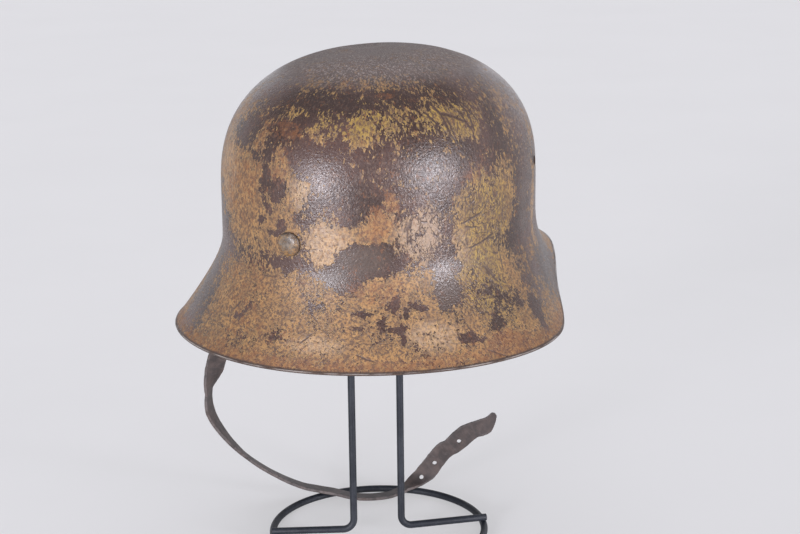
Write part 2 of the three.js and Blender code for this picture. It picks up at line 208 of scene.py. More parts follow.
# %% Where the skin is
def section_slope(column, row):
    if row in (0, len(RIM_SECTIONS) - 1):
        return 0.0
    before = RIM_SECTIONS[row - 1]
    after = RIM_SECTIONS[row + 1]
    return (after[column] - before[column]) / (after[0] - before[0])


def rim_value(column, azimuth):
    """One column of the rim table at any azimuth, the same on both sides, in metres."""
    fold = math.degrees(azimuth) % 360
    fold = min(fold, 360 - fold)
    row = 0
    while row < len(RIM_SECTIONS) - 2 and fold > RIM_SECTIONS[row + 1][0]:
        row += 1
    start = RIM_SECTIONS[row]
    end = RIM_SECTIONS[row + 1]
    span = end[0] - start[0]
    t = (fold - start[0]) / span
    rest = 1 - t
    leave = section_slope(column, row)
    arrive = section_slope(column, row + 1)
    from_start = (1 + 2 * t) * rest * rest * start[column] + t * rest * rest * span * leave
    to_end = t * t * (3 - 2 * t) * end[column] - t * t * rest * span * arrive
    return (from_start + to_end) * MM


def wall_radius(azimuth):
    across = math.sin(azimuth) / DOME_HALF_WIDTH
    along = math.cos(azimuth) / DOME_HALF_LENGTH
    return 1 / math.hypot(across, along)


def flare_profile(azimuth, t):
    wall = wall_radius(azimuth)
    knee = rim_value(KNEE_HEIGHT, azimuth)
    rim = Vector((rim_value(RIM_RADIUS, azimuth), rim_value(RIM_HEIGHT, azimuth)))
    corner = Vector((wall, knee))
    start = Vector((wall, knee + FLARE_BEND))
    first = start.lerp(corner, FLARE_TENSION)
    second = rim.lerp(corner, FLARE_TENSION)
    rest = 1 - t
    return rest**3 * start + 3 * rest * rest * t * first + 3 * rest * t * t * second + t**3 * rim


def skin_profile(azimuth, share):
    """Radius and height of the outer skin."""
    if share <= 1:
        angle = share * math.pi / 2
        power = 2 / DOME_FULLNESS
        rise = (CROWN_HEIGHT - DOME_BASE) * max(math.cos(angle), 0) ** power
        return Vector((wall_radius(azimuth) * math.sin(angle) ** power, DOME_BASE + rise))
    if share <= 2:
        bend_top = rim_value(KNEE_HEIGHT, azimuth) + FLARE_BEND
        return Vector((wall_radius(azimuth), DOME_BASE + (bend_top - DOME_BASE) * (share - 1)))
    lip = LIP_TURN * max(0, (share - LIP_START) / (3 - LIP_START)) ** 2
    return flare_profile(azimuth, share - 2) + lip * LIP_WAY


def skin_point(azimuth, share):
    radius, height = skin_profile(azimuth, share)
    return AXIS + Vector((radius * math.sin(azimuth), -radius * math.cos(azimuth), height))


def skin_down(azimuth, share):
    step = 0.004
    below = skin_point(azimuth, min(share + step, 3))
    return (below - skin_point(azimuth, share - step)).normalized()


def skin_out(azimuth, share):
    around = Vector((math.cos(azimuth), math.sin(azimuth), 0))
    return skin_down(azimuth, share).cross(around).normalized()


def share_at(azimuth, height):
    """The share at which the skin has a height over the rim datum."""
    low = 0.02
    high = 3.0
    for _ in range(40):
        middle = (low + high) / 2
        if skin_profile(azimuth, middle)[1] > height:
            low = middle
        else:
            high = middle
    return low


print("skin at the back, 100 mm up:", skin_point(math.pi, share_at(math.pi, 0.1)))

# %% [markdown]
# ## Raising the shell
# A real shell is pressed from a disc. In Blender it can be raised the other way: one ring of edges
# at the rim is extruded row by row up the wall and the dome, and the opening that is left is closed
# with a grid, which keeps four-sided faces at the crown where a pole would pucker. A Solidify
# modifier gives the sheet its thickness.

# %% Extrude the rows
SECTORS = 80
LIP_SHARES = [3.0, 2.996, 2.985, 2.95, 2.9, 2.84, 2.77, 2.69]
FLARE_SHARES = [2.6, 2.5, 2.4, 2.3, 2.2, 2.1, 2.0]
WALL_SHARES = [1.75, 1.5, 1.25, 1.0]
DOME_STEPS = 11
CAP_SHARE = 0.42
DOME_SHARES = [1 - (1 - CAP_SHARE) * step / DOME_STEPS for step in range(1, DOME_STEPS + 1)]


def fit_ring(piece, share):
    """Moves the selected ring onto the skin."""
    work = bmesh.from_edit_mesh(piece.data)
    for vertex in work.verts:
        if vertex.select:
            offset = vertex.co - AXIS
            vertex.co = skin_point(math.atan2(offset.x, -offset.y), share)
    bmesh.update_edit_mesh(piece.data)


bpy.ops.object.select_all(action="DESELECT")
bpy.ops.mesh.primitive_circle_add(vertices=SECTORS, radius=visor_reach, location=AXIS)
shell = bpy.context.object
shell.name = "pressed_shell"
bpy.ops.object.transform_apply(location=True)
bpy.ops.object.mode_set(mode="EDIT")
fit_ring(shell, LIP_SHARES[0])
for share in LIP_SHARES[1:] + FLARE_SHARES + WALL_SHARES + DOME_SHARES:
    bpy.ops.mesh.extrude_region_move()
    fit_ring(shell, share)
print("rows raised to share", round(DOME_SHARES[-1], 2))

# %% Close the crown
bpy.ops.mesh.fill_grid(span=SECTORS // 4)
work = bmesh.from_edit_mesh(shell.data)
for vertex in work.verts:
    offset = vertex.co - AXIS
    if vertex.select and offset.z > DOME_BASE:
        azimuth = math.atan2(offset.x, -offset.y)
        part = min(math.hypot(offset.x, offset.y) / wall_radius(azimuth), 1)
        angle = math.asin(part ** (DOME_FULLNESS / 2))
        vertex.co = skin_point(azimuth, angle * 2 / math.pi)
bmesh.update_edit_mesh(shell.data)
bpy.ops.mesh.select_all(action="SELECT")
bpy.ops.mesh.normals_make_consistent(inside=False)
bpy.ops.object.mode_set(mode="OBJECT")
print("shell cage:", len(shell.data.polygons), "faces")


# %% Give the sheet its thickness
def apply_modifier(piece, kind, **settings):
    bpy.ops.object.select_all(action="DESELECT")
    piece.select_set(True)
    bpy.context.view_layer.objects.active = piece
    bpy.ops.object.modifier_add(type=kind)
    modifier = piece.modifiers[-1]
    for name, value in settings.items():
        setattr(modifier, name, value)
    bpy.ops.object.modifier_apply(modifier=modifier.name)


apply_modifier(shell, "SOLIDIFY", thickness=SHEET, offset=-1, use_even_offset=True)
apply_modifier(shell, "SUBSURF", levels=2, render_levels=2)
print("shell:", len(shell.data.polygons), "faces")

# %% [markdown]
# ## Dents, vents and rivet holes
# The crown has a few shallow knocks that catch the light along the skyline, and on each side a vent
# with a raised lip. A proportional edit would push the sheet by hand. Here one small helper does
# the same, moving every vertex within reach by a soft fall-off, and a drill made of a cylinder cuts
# the holes with a Boolean modifier.

# %% Press the dents and raise the vent lips
# place from the axis in x and y, reach and depth in millimetres
CROWN_DENTS = (
    (14, 18, 30, 1.4),
    (16, -12, 19, 2.0),
    (-38, 12, 18, 1.0),
)
CROWN_NICK = (-28, -46, 11, 0.5)
VENT_HEIGHT = 100 * MM
VENT_AZIMUTHS = (math.radians(68), math.radians(-68))
VENT_LIP = 0.9 * MM
VENT_REACH = 8 * MM


def press(piece, centre, push, reach, flat=False):
    """Moves the vertices near a place, most at its middle."""
    for vertex in piece.data.vertices:
        offset = vertex.co - centre
        if flat:
            offset.z = 0
        share = offset.length / reach
        if share < 1 and (not flat or vertex.co.z > AXIS.z + DOME_BASE):
            vertex.co += push * (1 - share * share) ** 2


for x, y, reach, depth in CROWN_DENTS + (CROWN_NICK,):
    centre = AXIS + Vector((x, y, 0)) * MM
    press(shell, centre, Vector((0, 0, -depth * MM)), reach * MM, flat=True)
for azimuth in VENT_AZIMUTHS:
    share = share_at(azimuth, VENT_HEIGHT)
    press(shell, skin_point(azimuth, share), skin_out(azimuth, share) * VENT_LIP, VENT_REACH)
print("pressed", len(CROWN_DENTS) + 1, "dents and", len(VENT_AZIMUTHS), "vent lips")

# %% Drill the vents and the rivet holes
VENT_DIAMETER = 6 * MM
RIVET_HOLE = 5 * MM
RIVET_HEIGHT = 71.5 * MM
DRILL_LENGTH = 9 * MM
DRILL_SIDES = 32
SHELL_SMOOTH = math.radians(35)
RIVET_PLACES = (
    ("rear_rivet", math.pi),
    ("right_rivet", math.radians(-34)),
    ("left_rivet", math.radians(34)),
)


def drill(piece, place, direction, diameter):
    bpy.ops.object.select_all(action="DESELECT")
    turn = direction.to_track_quat("Z", "Y").to_euler()
    bpy.ops.mesh.primitive_cylinder_add(
        vertices=DRILL_SIDES,
        radius=diameter / 2,
        depth=DRILL_LENGTH,
        location=place,
        rotation=turn,
    )
    bit = bpy.context.object
    apply_modifier(piece, "BOOLEAN", operation="DIFFERENCE", solver="EXACT", object=bit)
    bpy.data.objects.remove(bit)


for azimuth in VENT_AZIMUTHS:
    share = share_at(azimuth, VENT_HEIGHT)
    drill(shell, skin_point(azimuth, share), skin_out(azimuth, share), VENT_DIAMETER)
for name, azimuth in RIVET_PLACES:
    share = share_at(azimuth, RIVET_HEIGHT)
    drill(shell, skin_point(azimuth, share), skin_out(azimuth, share), RIVET_HOLE)
bpy.ops.object.shade_smooth_by_angle(angle=SHELL_SMOOTH)
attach(shell, "root")
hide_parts("helmet_shell")
print("shell with holes:", len(shell.data.polygons), "faces")

# %% [markdown]
# ## Rivets
# Three rivets go through the wall: one at the back, which shows, and one ahead of each temple. A
# rivet is a turned shape, so half of its outline is drawn as a chain of edges and spun about its
# axis. It is modelled once, pointing up, and copied to each place with its own mesh.

# %% Spin one rivet
HEAD_RADIUS = 7.2 * MM
# radius and height over the skin in millimetres, from the tail inside to the top of the head
RIVET_OUTLINE = (
    (0, -2.5),
    (4.5, -2.5),
    (4.5, -1.5),
    (2.2, -1.5),
    (2.2, 0.3),
    (6.8, 0.3),
    (7.1, 0.5),
    (7.2, 0.85),
    (6.9, 1.4),
    (6.3, 2.0),
    (5.2, 2.65),
    (3.6, 3.1),
    (1.8, 3.27),
    (0, 3.3),
)
SPIN_STEPS = 48
MERGE_REACH = 0.02 * MM


def chain_of_edges(name, points):
    """A mesh of edges drawn point by point, left selected in edit mode."""
    bpy.ops.object.select_all(action="DESELECT")
    bpy.ops.mesh.primitive_plane_add(size=1)
    piece = bpy.context.object
    piece.name = name
    bpy.ops.object.mode_set(mode="EDIT")
    bpy.ops.mesh.merge(type="CENTER")
    bpy.ops.transform.translate(value=points[0])
    for before, after in zip(points, points[1:]):
        bpy.ops.mesh.extrude_region_move(TRANSFORM_OT_translate={"value": after - before})
    bpy.ops.mesh.select_all(action="SELECT")
    return piece


outline = [Vector((radius, 0, height)) * MM for radius, height in RIVET_OUTLINE]
rivet = chain_of_edges("rivet", outline)
bpy.ops.mesh.spin(steps=SPIN_STEPS, angle=2 * math.pi, center=(0, 0, 0), axis=(0, 0, 1))
bpy.ops.mesh.select_all(action="SELECT")
bpy.ops.mesh.remove_doubles(threshold=MERGE_REACH)
bpy.ops.mesh.normals_make_consistent(inside=False)
bpy.ops.object.mode_set(mode="OBJECT")
print("rivet:", len(rivet.data.polygons), "faces")

# %% Knock and set the rivets
HEAD_FROM = 0.4 * MM
HEAD_KNOCK = 0.16 * MM
SIDE_KNOCK = 0.018
LUMP_SIZES = (260, 620)
SIDE_LUMP_SIZE = 190
RIVET_SMOOTH = math.radians(50)

for vertex in rivet.data.vertices:
    if vertex.co.z > HEAD_FROM:
        lump = noise.noise(vertex.co * LUMP_SIZES[0])
        lump += 0.5 * noise.noise(vertex.co * LUMP_SIZES[1])
        vertex.co.z += HEAD_KNOCK * lump
        vertex.co.xy *= 1 + SIDE_KNOCK * noise.noise(vertex.co * SIDE_LUMP_SIZE)
apply_modifier(rivet, "SUBSURF", levels=1, render_levels=1)
bpy.ops.object.shade_smooth_by_angle(angle=RIVET_SMOOTH)

rivet_pieces = []
for name, azimuth in RIVET_PLACES:
    share = share_at(azimuth, RIVET_HEIGHT)
    copy = bpy.data.objects.new("domed_" + name, rivet.data.copy())
    bpy.context.collection.objects.link(copy)
    turn = skin_out(azimuth, share).to_track_quat("Z", "Y").to_matrix().to_4x4()
    copy.data.transform(Matrix.Translation(skin_point(azimuth, share)) @ turn)
    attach(copy, "root")
    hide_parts(name)
    rivet_pieces.append(copy)
bpy.data.objects.remove(rivet)
print("rivets set:", [piece.name for piece in rivet_pieces])

# %% [markdown]
# ## Chin strap
# The strap is one strip of leather, held inside the shell, hanging out over the left edge of the
# neck guard, lying across the base and turned up at its free end. A strap maker cuts it flat,
# punches it and then bends it, and so does this step: the strip is modelled flat, with the tip at
# zero and the length along Y, and laid on its route last.

# %% Route of the strap
LAYOUT_TURN = math.radians(207.5)
STRAP_WIDTH = 13.6 * MM
STRAP_THICKNESS = 2.0 * MM
# across, behind and height of the middle line in millimetres, and the roll of the width
# about it in degrees
STRAP_ROUTE = (
    (-79, 41.1, 227.5, -27.5),
    (-79, 41.1, 212, -27.5),
    (-81.5, 41, 195, -29),
    (-89.5, 40.8, 171, -34),
    (-99.5, 41.4, 144, -44),
    (-107.5, 42.4, 119, -60),
    (-113, 44, 99.5, -58),
    (-117.6, 46, 83, -9),
    (-117.4, 47, 69, -12),
    (-109.5, 49, 52.4, -1),
    (-95, 52, 34.5, 12),
    (-77, 55.5, 20.1, 12),
    (-58, 58, 9.9, 9),
    (-46, 56, 7.8, 8),
    (-35, 53.5, 6.6, 8),
    (-22, 52, 3.8, 8),
    (-8, 53, 2.8, 8),
    (5, 56, 3.8, 6),
    (14, 60, 6.9, -4),
    (21, 63, 11.5, -50),
    (27, 65, 17, -84),
    (35, 66, 24, -90),
    (43.5, 66, 32, -90),
    (52.5, 66, 39.4, -90),
    (61, 66, 45.4, -90),
    (69, 66, 49.8, -90),
    (77, 66, 54.8, -90),
)
ROLL = 3
ROUTE_POINTS = [Vector(row[:3]) * MM for row in STRAP_ROUTE]
ROUTE_STEPS = 24


def route_place(t):
    """A point on a smooth curve through the route's rows, with t counting rows."""
    last = len(ROUTE_POINTS) - 1
    row = min(int(t), last - 1)
    b = ROUTE_POINTS[row]
    c = ROUTE_POINTS[row + 1]
    a = ROUTE_POINTS[row - 1] if row > 0 else 2 * b - c
    d = ROUTE_POINTS[row + 2] if row + 2 <= last else 2 * c - b
    gap_ab = (b - a).length ** 0.5
    gap_bc = (c - b).length ** 0.5
    gap_cd = (d - c).length ** 0.5
    leave = ((b - a) / gap_ab - (c - a) / (gap_ab + gap_bc) + (c - b) / gap_bc) * gap_bc
    reach = ((c - b) / gap_bc - (d - b) / (gap_bc + gap_cd) + (d - c) / gap_cd) * gap_bc
    w = t - row
    place = b + leave * w + (3 * (c - b) - 2 * leave - reach) * w * w
    return place + (2 * (b - c) + leave + reach) * w**3


ROUTE_END = len(ROUTE_POINTS) - 1
route_t = np.linspace(0, ROUTE_END, ROUTE_END * ROUTE_STEPS + 1)
route_line = [route_place(t) for t in route_t]
stretches = [(q - p).length for p, q in zip(route_line, route_line[1:])]
route_run = np.concatenate([[0], np.cumsum(stretches)])
STRAP_LENGTH = float(route_run[-1])
print("strap length:", round(STRAP_LENGTH / MM, 1), "mm")


# %% Frame of the strap at any distance from its tip
def strap_station(from_tip):
    """Middle point, direction of the width and direction of the face."""
    t = float(np.interp(STRAP_LENGTH - from_tip, route_run, route_t))
    row = min(int(t), ROUTE_END - 1)
    start_roll = STRAP_ROUTE[row][ROLL]
    end_roll = STRAP_ROUTE[row + 1][ROLL]
    roll = math.radians(start_roll + (end_roll - start_roll) * (t - row))
    ahead = route_place(min(t + 0.01, ROUTE_END))
    along = (ahead - route_place(max(t - 0.01, 0))).normalized()
    level = (Vector((0, 1, 0)) - along * along.y).normalized()
    side = level * math.cos(roll) + level.cross(along) * math.sin(roll)
    turn = Matrix.Rotation(LAYOUT_TURN, 3, "Z")
    foot = Vector((AXIS.x, AXIS.y, 0))
    return foot + turn @ route_place(t), turn @ side, turn @ along.cross(side)


print("strap tip at", [round(v, 4) for v in strap_station(0)[0]])

# %% [markdown]
# The free end has been bent and pulled for years, so its edges swell at each hole, pinch between
# them and carry small nicks, and its tip is cut on a slant. A short table gives how far each edge
# lies from the middle line, and a little noise frays it.

# %% Cut the strip flat
STRAP_ROWS = 300
STRAP_COLUMNS = 12
# distance from the tip, then reach of the upper and the lower edge from the middle line,
# in millimetres
STRAP_EDGES = (
    (0, 3.4, 6.5),
    (1, 4.7, 6.6),
    (3, 4.8, 6.8),
    (6, 3.9, 6.9),
    (9, 4.4, 6.7),
    (12, 5.0, 6.1),
    (17, 5.8, 5.4),
    (20, 6.7, 5.5),
    (24, 7.6, 5.8),
    (31, 7.3, 6.3),
    (37, 6.6, 6.1),
    (39, 6.4, 5.7),
    (42, 7.5, 5.1),
    (45, 7.9, 4.9),
    (52, 7.1, 6.0),
    (58, 5.9, 7.5),
    (61, 5.4, 8.1),
    (64, 5.0, 7.9),
    (68, 4.6, 6.9),
    (74, 5.0, 5.8),
    (90, 6.2, 6.6),
    (110, 6.8, 6.8),
)
UPPER_EDGE, LOWER_EDGE = 1, 2
EDGE_FRAY = 0.22 * MM
FRAY_SIZE = 330
TIP_SLANT = 9 * MM
SLANT_RUN = 40 * MM
SLANT_FROM = 0.15
SLANT_WIDTH = 0.65
STRAP_BEVEL = 0.4 * MM
BEVEL_ANGLE = math.radians(60)


def edge_reach(from_tip, column):
    table_run = [row[0] * MM for row in STRAP_EDGES]
    table_reach = [row[column] * MM for row in STRAP_EDGES]
    spot = Vector((column * 7.3, from_tip * FRAY_SIZE, 0.4))
    fray = EDGE_FRAY * noise.fractal(spot, 0.8, 2.2, 3)
    return float(np.interp(from_tip, table_run, table_reach)) + fray


def round_edges(piece, width):
    apply_modifier(
        piece, "BEVEL", width=width, segments=2, limit_method="ANGLE", angle_limit=BEVEL_ANGLE
    )


bpy.ops.object.select_all(action="DESELECT")
bpy.ops.mesh.primitive_grid_add(x_subdivisions=STRAP_COLUMNS, y_subdivisions=STRAP_ROWS, size=1)
strap = bpy.context.object
strap.name = "leather_chin_strap"
for vertex in strap.data.vertices:
    from_tip = (vertex.co.y + 0.5) * STRAP_LENGTH
    column = UPPER_EDGE if vertex.co.x > 0 else LOWER_EDGE
    slant = min(max((SLANT_FROM - vertex.co.x) / SLANT_WIDTH, 0), 1) ** 1.5
    vertex.co.x *= 2 * edge_reach(from_tip, column)
    vertex.co.y = from_tip + TIP_SLANT * slant * max(1 - from_tip / SLANT_RUN, 0) ** 2
apply_modifier(strap, "SOLIDIFY", thickness=STRAP_THICKNESS, offset=0)
round_edges(strap, STRAP_BEVEL)
print("flat strip:", len(strap.data.polygons), "faces")

# %% Punch the holes and pinch the closed one
# distance from the tip and from the middle line in millimetres
STRAP_HOLES = ((31.5, 0), (54.5, -0.5), (68, -1.5))
HOLE_DIAMETER = 3 * MM
CLOSED_HOLE = 43.5 * MM
CLOSED_DEPTH = 0.75 * MM
CLOSED_REACH = 1.3 * MM

for from_tip, across in STRAP_HOLES:
    drill(strap, Vector((across, from_tip, 0)) * MM, Vector((0, 0, 1)), HOLE_DIAMETER)
for vertex in strap.data.vertices:
    offset = Vector((vertex.co.x, vertex.co.y - CLOSED_HOLE))
    pinch = math.copysign(CLOSED_DEPTH, vertex.co.z)
    vertex.co.z -= pinch * math.exp(-((offset.length / CLOSED_REACH) ** 2))
print("punched strip:", len(strap.data.polygons), "faces")

# %% Keep the flat lay as a UV map
strap_uv = strap.data.uv_layers.active or strap.data.uv_layers.new(name="flat_lay")
strap_uv.name = "flat_lay"
for loop in strap.data.loops:
    flat = strap.data.vertices[loop.vertex_index].co
    strap_uv.data[loop.index].uv = (flat.x, flat.y)
rim_share = strap.data.attributes.new("edge_share", "FLOAT", "POINT")
for vertex in strap.data.vertices:
    reach = edge_reach(vertex.co.y, UPPER_EDGE if vertex.co.x > 0 else LOWER_EDGE)
    rim_share.data[vertex.index].value = min(abs(vertex.co.x) / max(reach, MM), 1)
print("flat lay:", round(STRAP_LENGTH, 4), "by", STRAP_WIDTH, "m")

# %% Lay the strip on its route
WARP = 0.5 * MM
WARP_ACROSS = 60
WARP_ALONG = 45
LOOSE_END = 85 * MM
LOOSE_FADE = 30 * MM
STRAP_SMOOTH = math.radians(45)

for vertex in strap.data.vertices:
    across, from_tip, depth = vertex.co
    place, side, face = strap_station(max(from_tip, 0))
    cup = WARP * noise.noise(Vector((across * WARP_ACROSS, from_tip * WARP_ALONG, 1.7)))
    loose = min(max((LOOSE_END - from_tip) / LOOSE_FADE, 0), 1)
    vertex.co = place + side * across + face * (depth + cup * loose)
bpy.ops.object.select_all(action="DESELECT")
strap.select_set(True)
bpy.context.view_layer.objects.active = strap
bpy.ops.object.shade_smooth_by_angle(angle=STRAP_SMOOTH)
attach(strap, "root")
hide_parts("chin_strap")
lowest = min(vertex.co.z for vertex in strap.data.vertices)
print("strap laid, lowest point", round(lowest / MM, 2), "mm")

# %% [markdown]
# ## Wire stand
# The stand is bent from one gauge of round wire: a ring on the floor, two rods that rise from it,
# and a loop under the crown that the helmet sits on. Wire could be a curve with a round bevel.
# Extruding a small ring of edges from station to station gives the same tube as a plain mesh, with
# clean ends, so that is done here.

# %% Sizes of the stand
WIRE = 4.6 * MM
WIRE_SIDES = 20
RING_RADIUS = 69.3 * MM
RING_ACROSS = -4.6 * MM
RING_SEGMENTS = 120
WIRE_BEVEL = 0.35 * MM
STAND_SMOOTH = math.radians(40)
WELD = 0.4 * MM
ROD_BEND = 7 * MM
BEND_STEPS = 10
SEAT_SHARE = 0.55
SEAT_GAP = 0.6 * MM
SEAT_SECTORS = 96
# foot across, foot behind, upright across and upright behind in millimetres, and the side
# that the arm leaves to
RODS = (
    (-74, -13.4, -20.6, -11, -1),
    (66.4, 6.2, 10.3, -6.8, 1),
)


def laid_out(across, behind, height):
    turn = Matrix.Rotation(LAYOUT_TURN, 3, "Z")
    return Vector((AXIS.x, AXIS.y, 0)) + turn @ Vector((across, behind, height))


def seat_line():
    """Middle line of the loop, set in from the inner face of the dome."""
    share = math.asin(SEAT_SHARE ** (DOME_FULLNESS / 2)) * 2 / math.pi
    inset = SHEET + SEAT_GAP + WIRE / 2
    line = []
    for step in range(SEAT_SECTORS):
        azimuth = step * 2 * math.pi / SEAT_SECTORS
        place = skin_point(azimuth, share) - skin_out(azimuth, share) * inset
        for x, y, reach, depth in CROWN_DENTS:
            part = math.hypot(place.x - AXIS.x - x * MM, place.y - AXIS.y - y * MM) / (reach * MM)
            place.z -= depth * MM * max(1 - part * part, 0) ** 2
        line.append(place)
    return line


seat = seat_line()
print("seat loop at", round(seat[0].z, 4), "m")


# %% Draw wire along a line
def wire_ring(piece, place, along, side):
    """Moves the selected ring of vertices to one station of the wire."""
    work = bmesh.from_edit_mesh(piece.data)
    ring = [vertex for vertex in work.verts if vertex.select]
    across = along.cross(side)
    centre = sum((vertex.co for vertex in ring), Vector()) / len(ring)
    old_side, old_across = piece["old_side"], piece["old_across"]
    for vertex in ring:
        offset = vertex.co - centre
        a = offset.dot(Vector(old_side))
        b = offset.dot(Vector(old_across))
        vertex.co = place + side * a + across * b
    bmesh.update_edit_mesh(piece.data)
    piece["old_side"] = side
    piece["old_across"] = across


def draw_wire(name, line, closed):
    bpy.ops.object.select_all(action="DESELECT")
    bpy.ops.mesh.primitive_circle_add(vertices=WIRE_SIDES, radius=WIRE / 2)
    piece = bpy.context.object
    piece.name = name
    piece["old_side"] = Vector((1, 0, 0))
    piece["old_across"] = Vector((0, 1, 0))
    bpy.ops.object.mode_set(mode="EDIT")
    side = Vector((0, 0, 1))
    count = len(line)
    for step in range(count):
        before = line[step - 1] if closed or step > 0 else line[0]
        after = line[(step + 1) % count] if closed or step < count - 1 else line[-1]
        along = (after - before).normalized()
        side = (side - along * side.dot(along)).normalized()
        if step > 0:
            bpy.ops.mesh.extrude_region_move()
        wire_ring(piece, line[step], along, side)
    finish_wire(piece, closed)
    return piece


def finish_wire(piece, closed):
    """Bridges a closed wire, or caps the two ends of an open one, and turns its faces outwards."""
    bpy.ops.mesh.select_all(action="DESELECT")
    bpy.ops.mesh.select_mode(type="EDGE")
    bpy.ops.mesh.select_non_manifold()
    if closed:
        bpy.ops.mesh.bridge_edge_loops()
    else:
        bpy.ops.mesh.edge_face_add()
    bpy.ops.mesh.select_mode(type="VERT")
    bpy.ops.mesh.select_all(action="SELECT")
    bpy.ops.mesh.normals_make_consistent(inside=False)
    bpy.ops.object.mode_set(mode="OBJECT")


seat_loop = draw_wire("seat_loop", seat, True)
print("seat loop:", len(seat_loop.data.polygons), "faces")


# %% Bend the rods
def bent(corners):
    """A line through the corners, each rounded to the bend radius."""
    line = [corners[0]]
    for before, corner, after in zip(corners, corners[1:], corners[2:]):
        back = (before - corner).normalized()
        ahead = (after - corner).normalized()
        half = back.angle(ahead) / 2
        centre = corner + (back + ahead).normalized() * (ROD_BEND / math.sin(half))
        start = corner + back * (ROD_BEND / math.tan(half)) - centre
        turn = math.pi - 2 * half
        axis = back.cross(ahead)
        for step in range(BEND_STEPS + 1):
            line.append(centre + Matrix.Rotation(-turn * step / BEND_STEPS, 3, axis) @ start)
    return line + [corners[-1]]


def arm_end(rod_top, side):
    outwards = laid_out(side, 0, 0) - laid_out(0, 0, 0)
    flat = [Vector((p.x, p.y, rod_top.z)) for p in seat]
    return min(flat, key=lambda p: (p - rod_top).angle(outwards))


foot_height = 1.5 * WIRE - WELD
arm_height = seat[0].z - WIRE + WELD
rods = []
for index, (foot_across, foot_behind, across, behind, side) in enumerate(RODS):
    foot = laid_out(foot_across * MM, foot_behind * MM, foot_height)
    knee = laid_out(across * MM, behind * MM, foot_height)
    top = laid_out(across * MM, behind * MM, arm_height)
    line = bent([foot, knee, top, arm_end(top, side)])
    rod = draw_wire("rod_" + str(index), line, False)
    round_edges(rod, WIRE_BEVEL)
    rods.append(rod)
    print(rod.name, "foot at", [round(v, 3) for v in foot])
    print(rod.name, "upright at", [round(v, 3) for v in knee])

# %% Weld the stand together
ring_centre = laid_out(RING_ACROSS, 0, WIRE / 2)
bpy.ops.object.select_all(action="DESELECT")
bpy.ops.mesh.primitive_torus_add(
    major_radius=RING_RADIUS,
    minor_radius=WIRE / 2,
    major_segments=RING_SEGMENTS,
    minor_segments=WIRE_SIDES,
    location=ring_centre,
)
stand = bpy.context.object
stand.name = "bent_wire_stand"
bpy.ops.object.transform_apply(location=True)
for piece in [seat_loop] + rods:
    apply_modifier(stand, "BOOLEAN", operation="UNION", solver="EXACT", object=piece)
    bpy.data.objects.remove(piece)
bpy.ops.object.shade_smooth_by_angle(angle=STAND_SMOOTH)
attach(stand, "root")
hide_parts("wire_stand")
print("stand:", len(stand.data.polygons), "faces")

# %% [markdown]
# ## Helpers for shader nodes
# Finishes are built from a few kinds of node over and over. Small helpers keep that readable: one
# adds a node and fills its sockets with values or links, the others wrap the sums, fades and mixes
# that every finish needs.


# %% Add and join nodes
def add_node(tree, kind, sockets=None, **settings):
    node = tree.nodes.new("ShaderNode" + kind)
    for name, value in settings.items():
        setattr(node, name, value)
    for name, value in (sockets or {}).items():
        if isinstance(value, bpy.types.NodeSocket):
            tree.links.new(value, node.inputs[name])
        else:
            node.inputs[name].default_value = value
    return node


def sums(tree, operation, first, second=0.0):
    return add_node(tree, "Math", {0: first, 1: second}, operation=operation).outputs[0]


def plus(tree, base, value, share):
    """base and a share of value on top."""
    return sums(tree, "ADD", base, sums(tree, "MULTIPLY", value, share))


def rest_of(tree, mask):
    return sums(tree, "SUBTRACT", 1.0, mask)


def scaled(tree, place, sizes):
    node = add_node(tree, "VectorMath", {0: place, 1: sizes}, operation="MULTIPLY")
    return node.outputs[0]


def fade(tree, value, low, high):
    """0 below low, 1 above high, and a soft step between."""
    sockets = {"Value": value, "From Min": low, "From Max": high}
    return add_node(tree, "MapRange", sockets, interpolation_type="SMOOTHSTEP").outputs["Result"]


def tint(tree, amount, under, over):
    return add_node(tree, "Mix", {0: amount, 6: under, 7: over}, data_type="RGBA").outputs[2]


def cloud(tree, place, size, detail=5.0, rough=0.55):
    sockets = {"Vector": place, "Scale": size, "Detail": detail, "Roughness": rough}
    return add_node(tree, "TexNoise", sockets).outputs["Fac"]


def attribute(tree, name):
    return add_node(tree, "Attribute", attribute_name=name).outputs["Fac"]


def new_material(name):
    material = bpy.data.materials.new(name)
    material.use_nodes = True
    return material, material.node_tree, material.node_tree.nodes["Principled BSDF"]


def raise_relief(tree, surface, height):
    bump = add_node(tree, "Bump", {"Height": height, "Strength": 1.0, "Distance": 1.0})
    tree.links.new(bump.outputs["Normal"], surface.inputs["Normal"])


def dress(piece, material):
    piece.data.materials.clear()
    piece.data.materials.append(material)


def new_group(name, inputs, outputs):
    """A node group with named sockets: inputs as name, kind and value, outputs as names."""
    tree = bpy.data.node_groups.new(name, "ShaderNodeTree")
    for label, kind, value in inputs:
        kind = "NodeSocket" + kind
        socket = tree.interface.new_socket(label, in_out="INPUT", socket_type=kind)
        if value is not None:
            socket.default_value = value
    for label in outputs:
        tree.interface.new_socket(label, in_out="OUTPUT", socket_type="NodeSocketFloat")
    given = tree.nodes.new("NodeGroupInput").outputs
    put = tree.nodes.new("NodeGroupOutput").inputs
    return tree, given, put


print("node helpers ready")

# %% [markdown]
# ## Ragged edges, scores and grain
# Old paint leaves steel in flakes: whole where it held, broken into islands where it thinned. A
# group compares the cover that a surface should have with noise of many sizes, so a low cover
# leaves crumbs and a high one pits. The finer noise is read from a stretched place, because the
# paint was brushed on and rubbed off downwards. More groups give hair-thin scores, single scratches
# whose line is stored, and the grain that breaks up a shine.

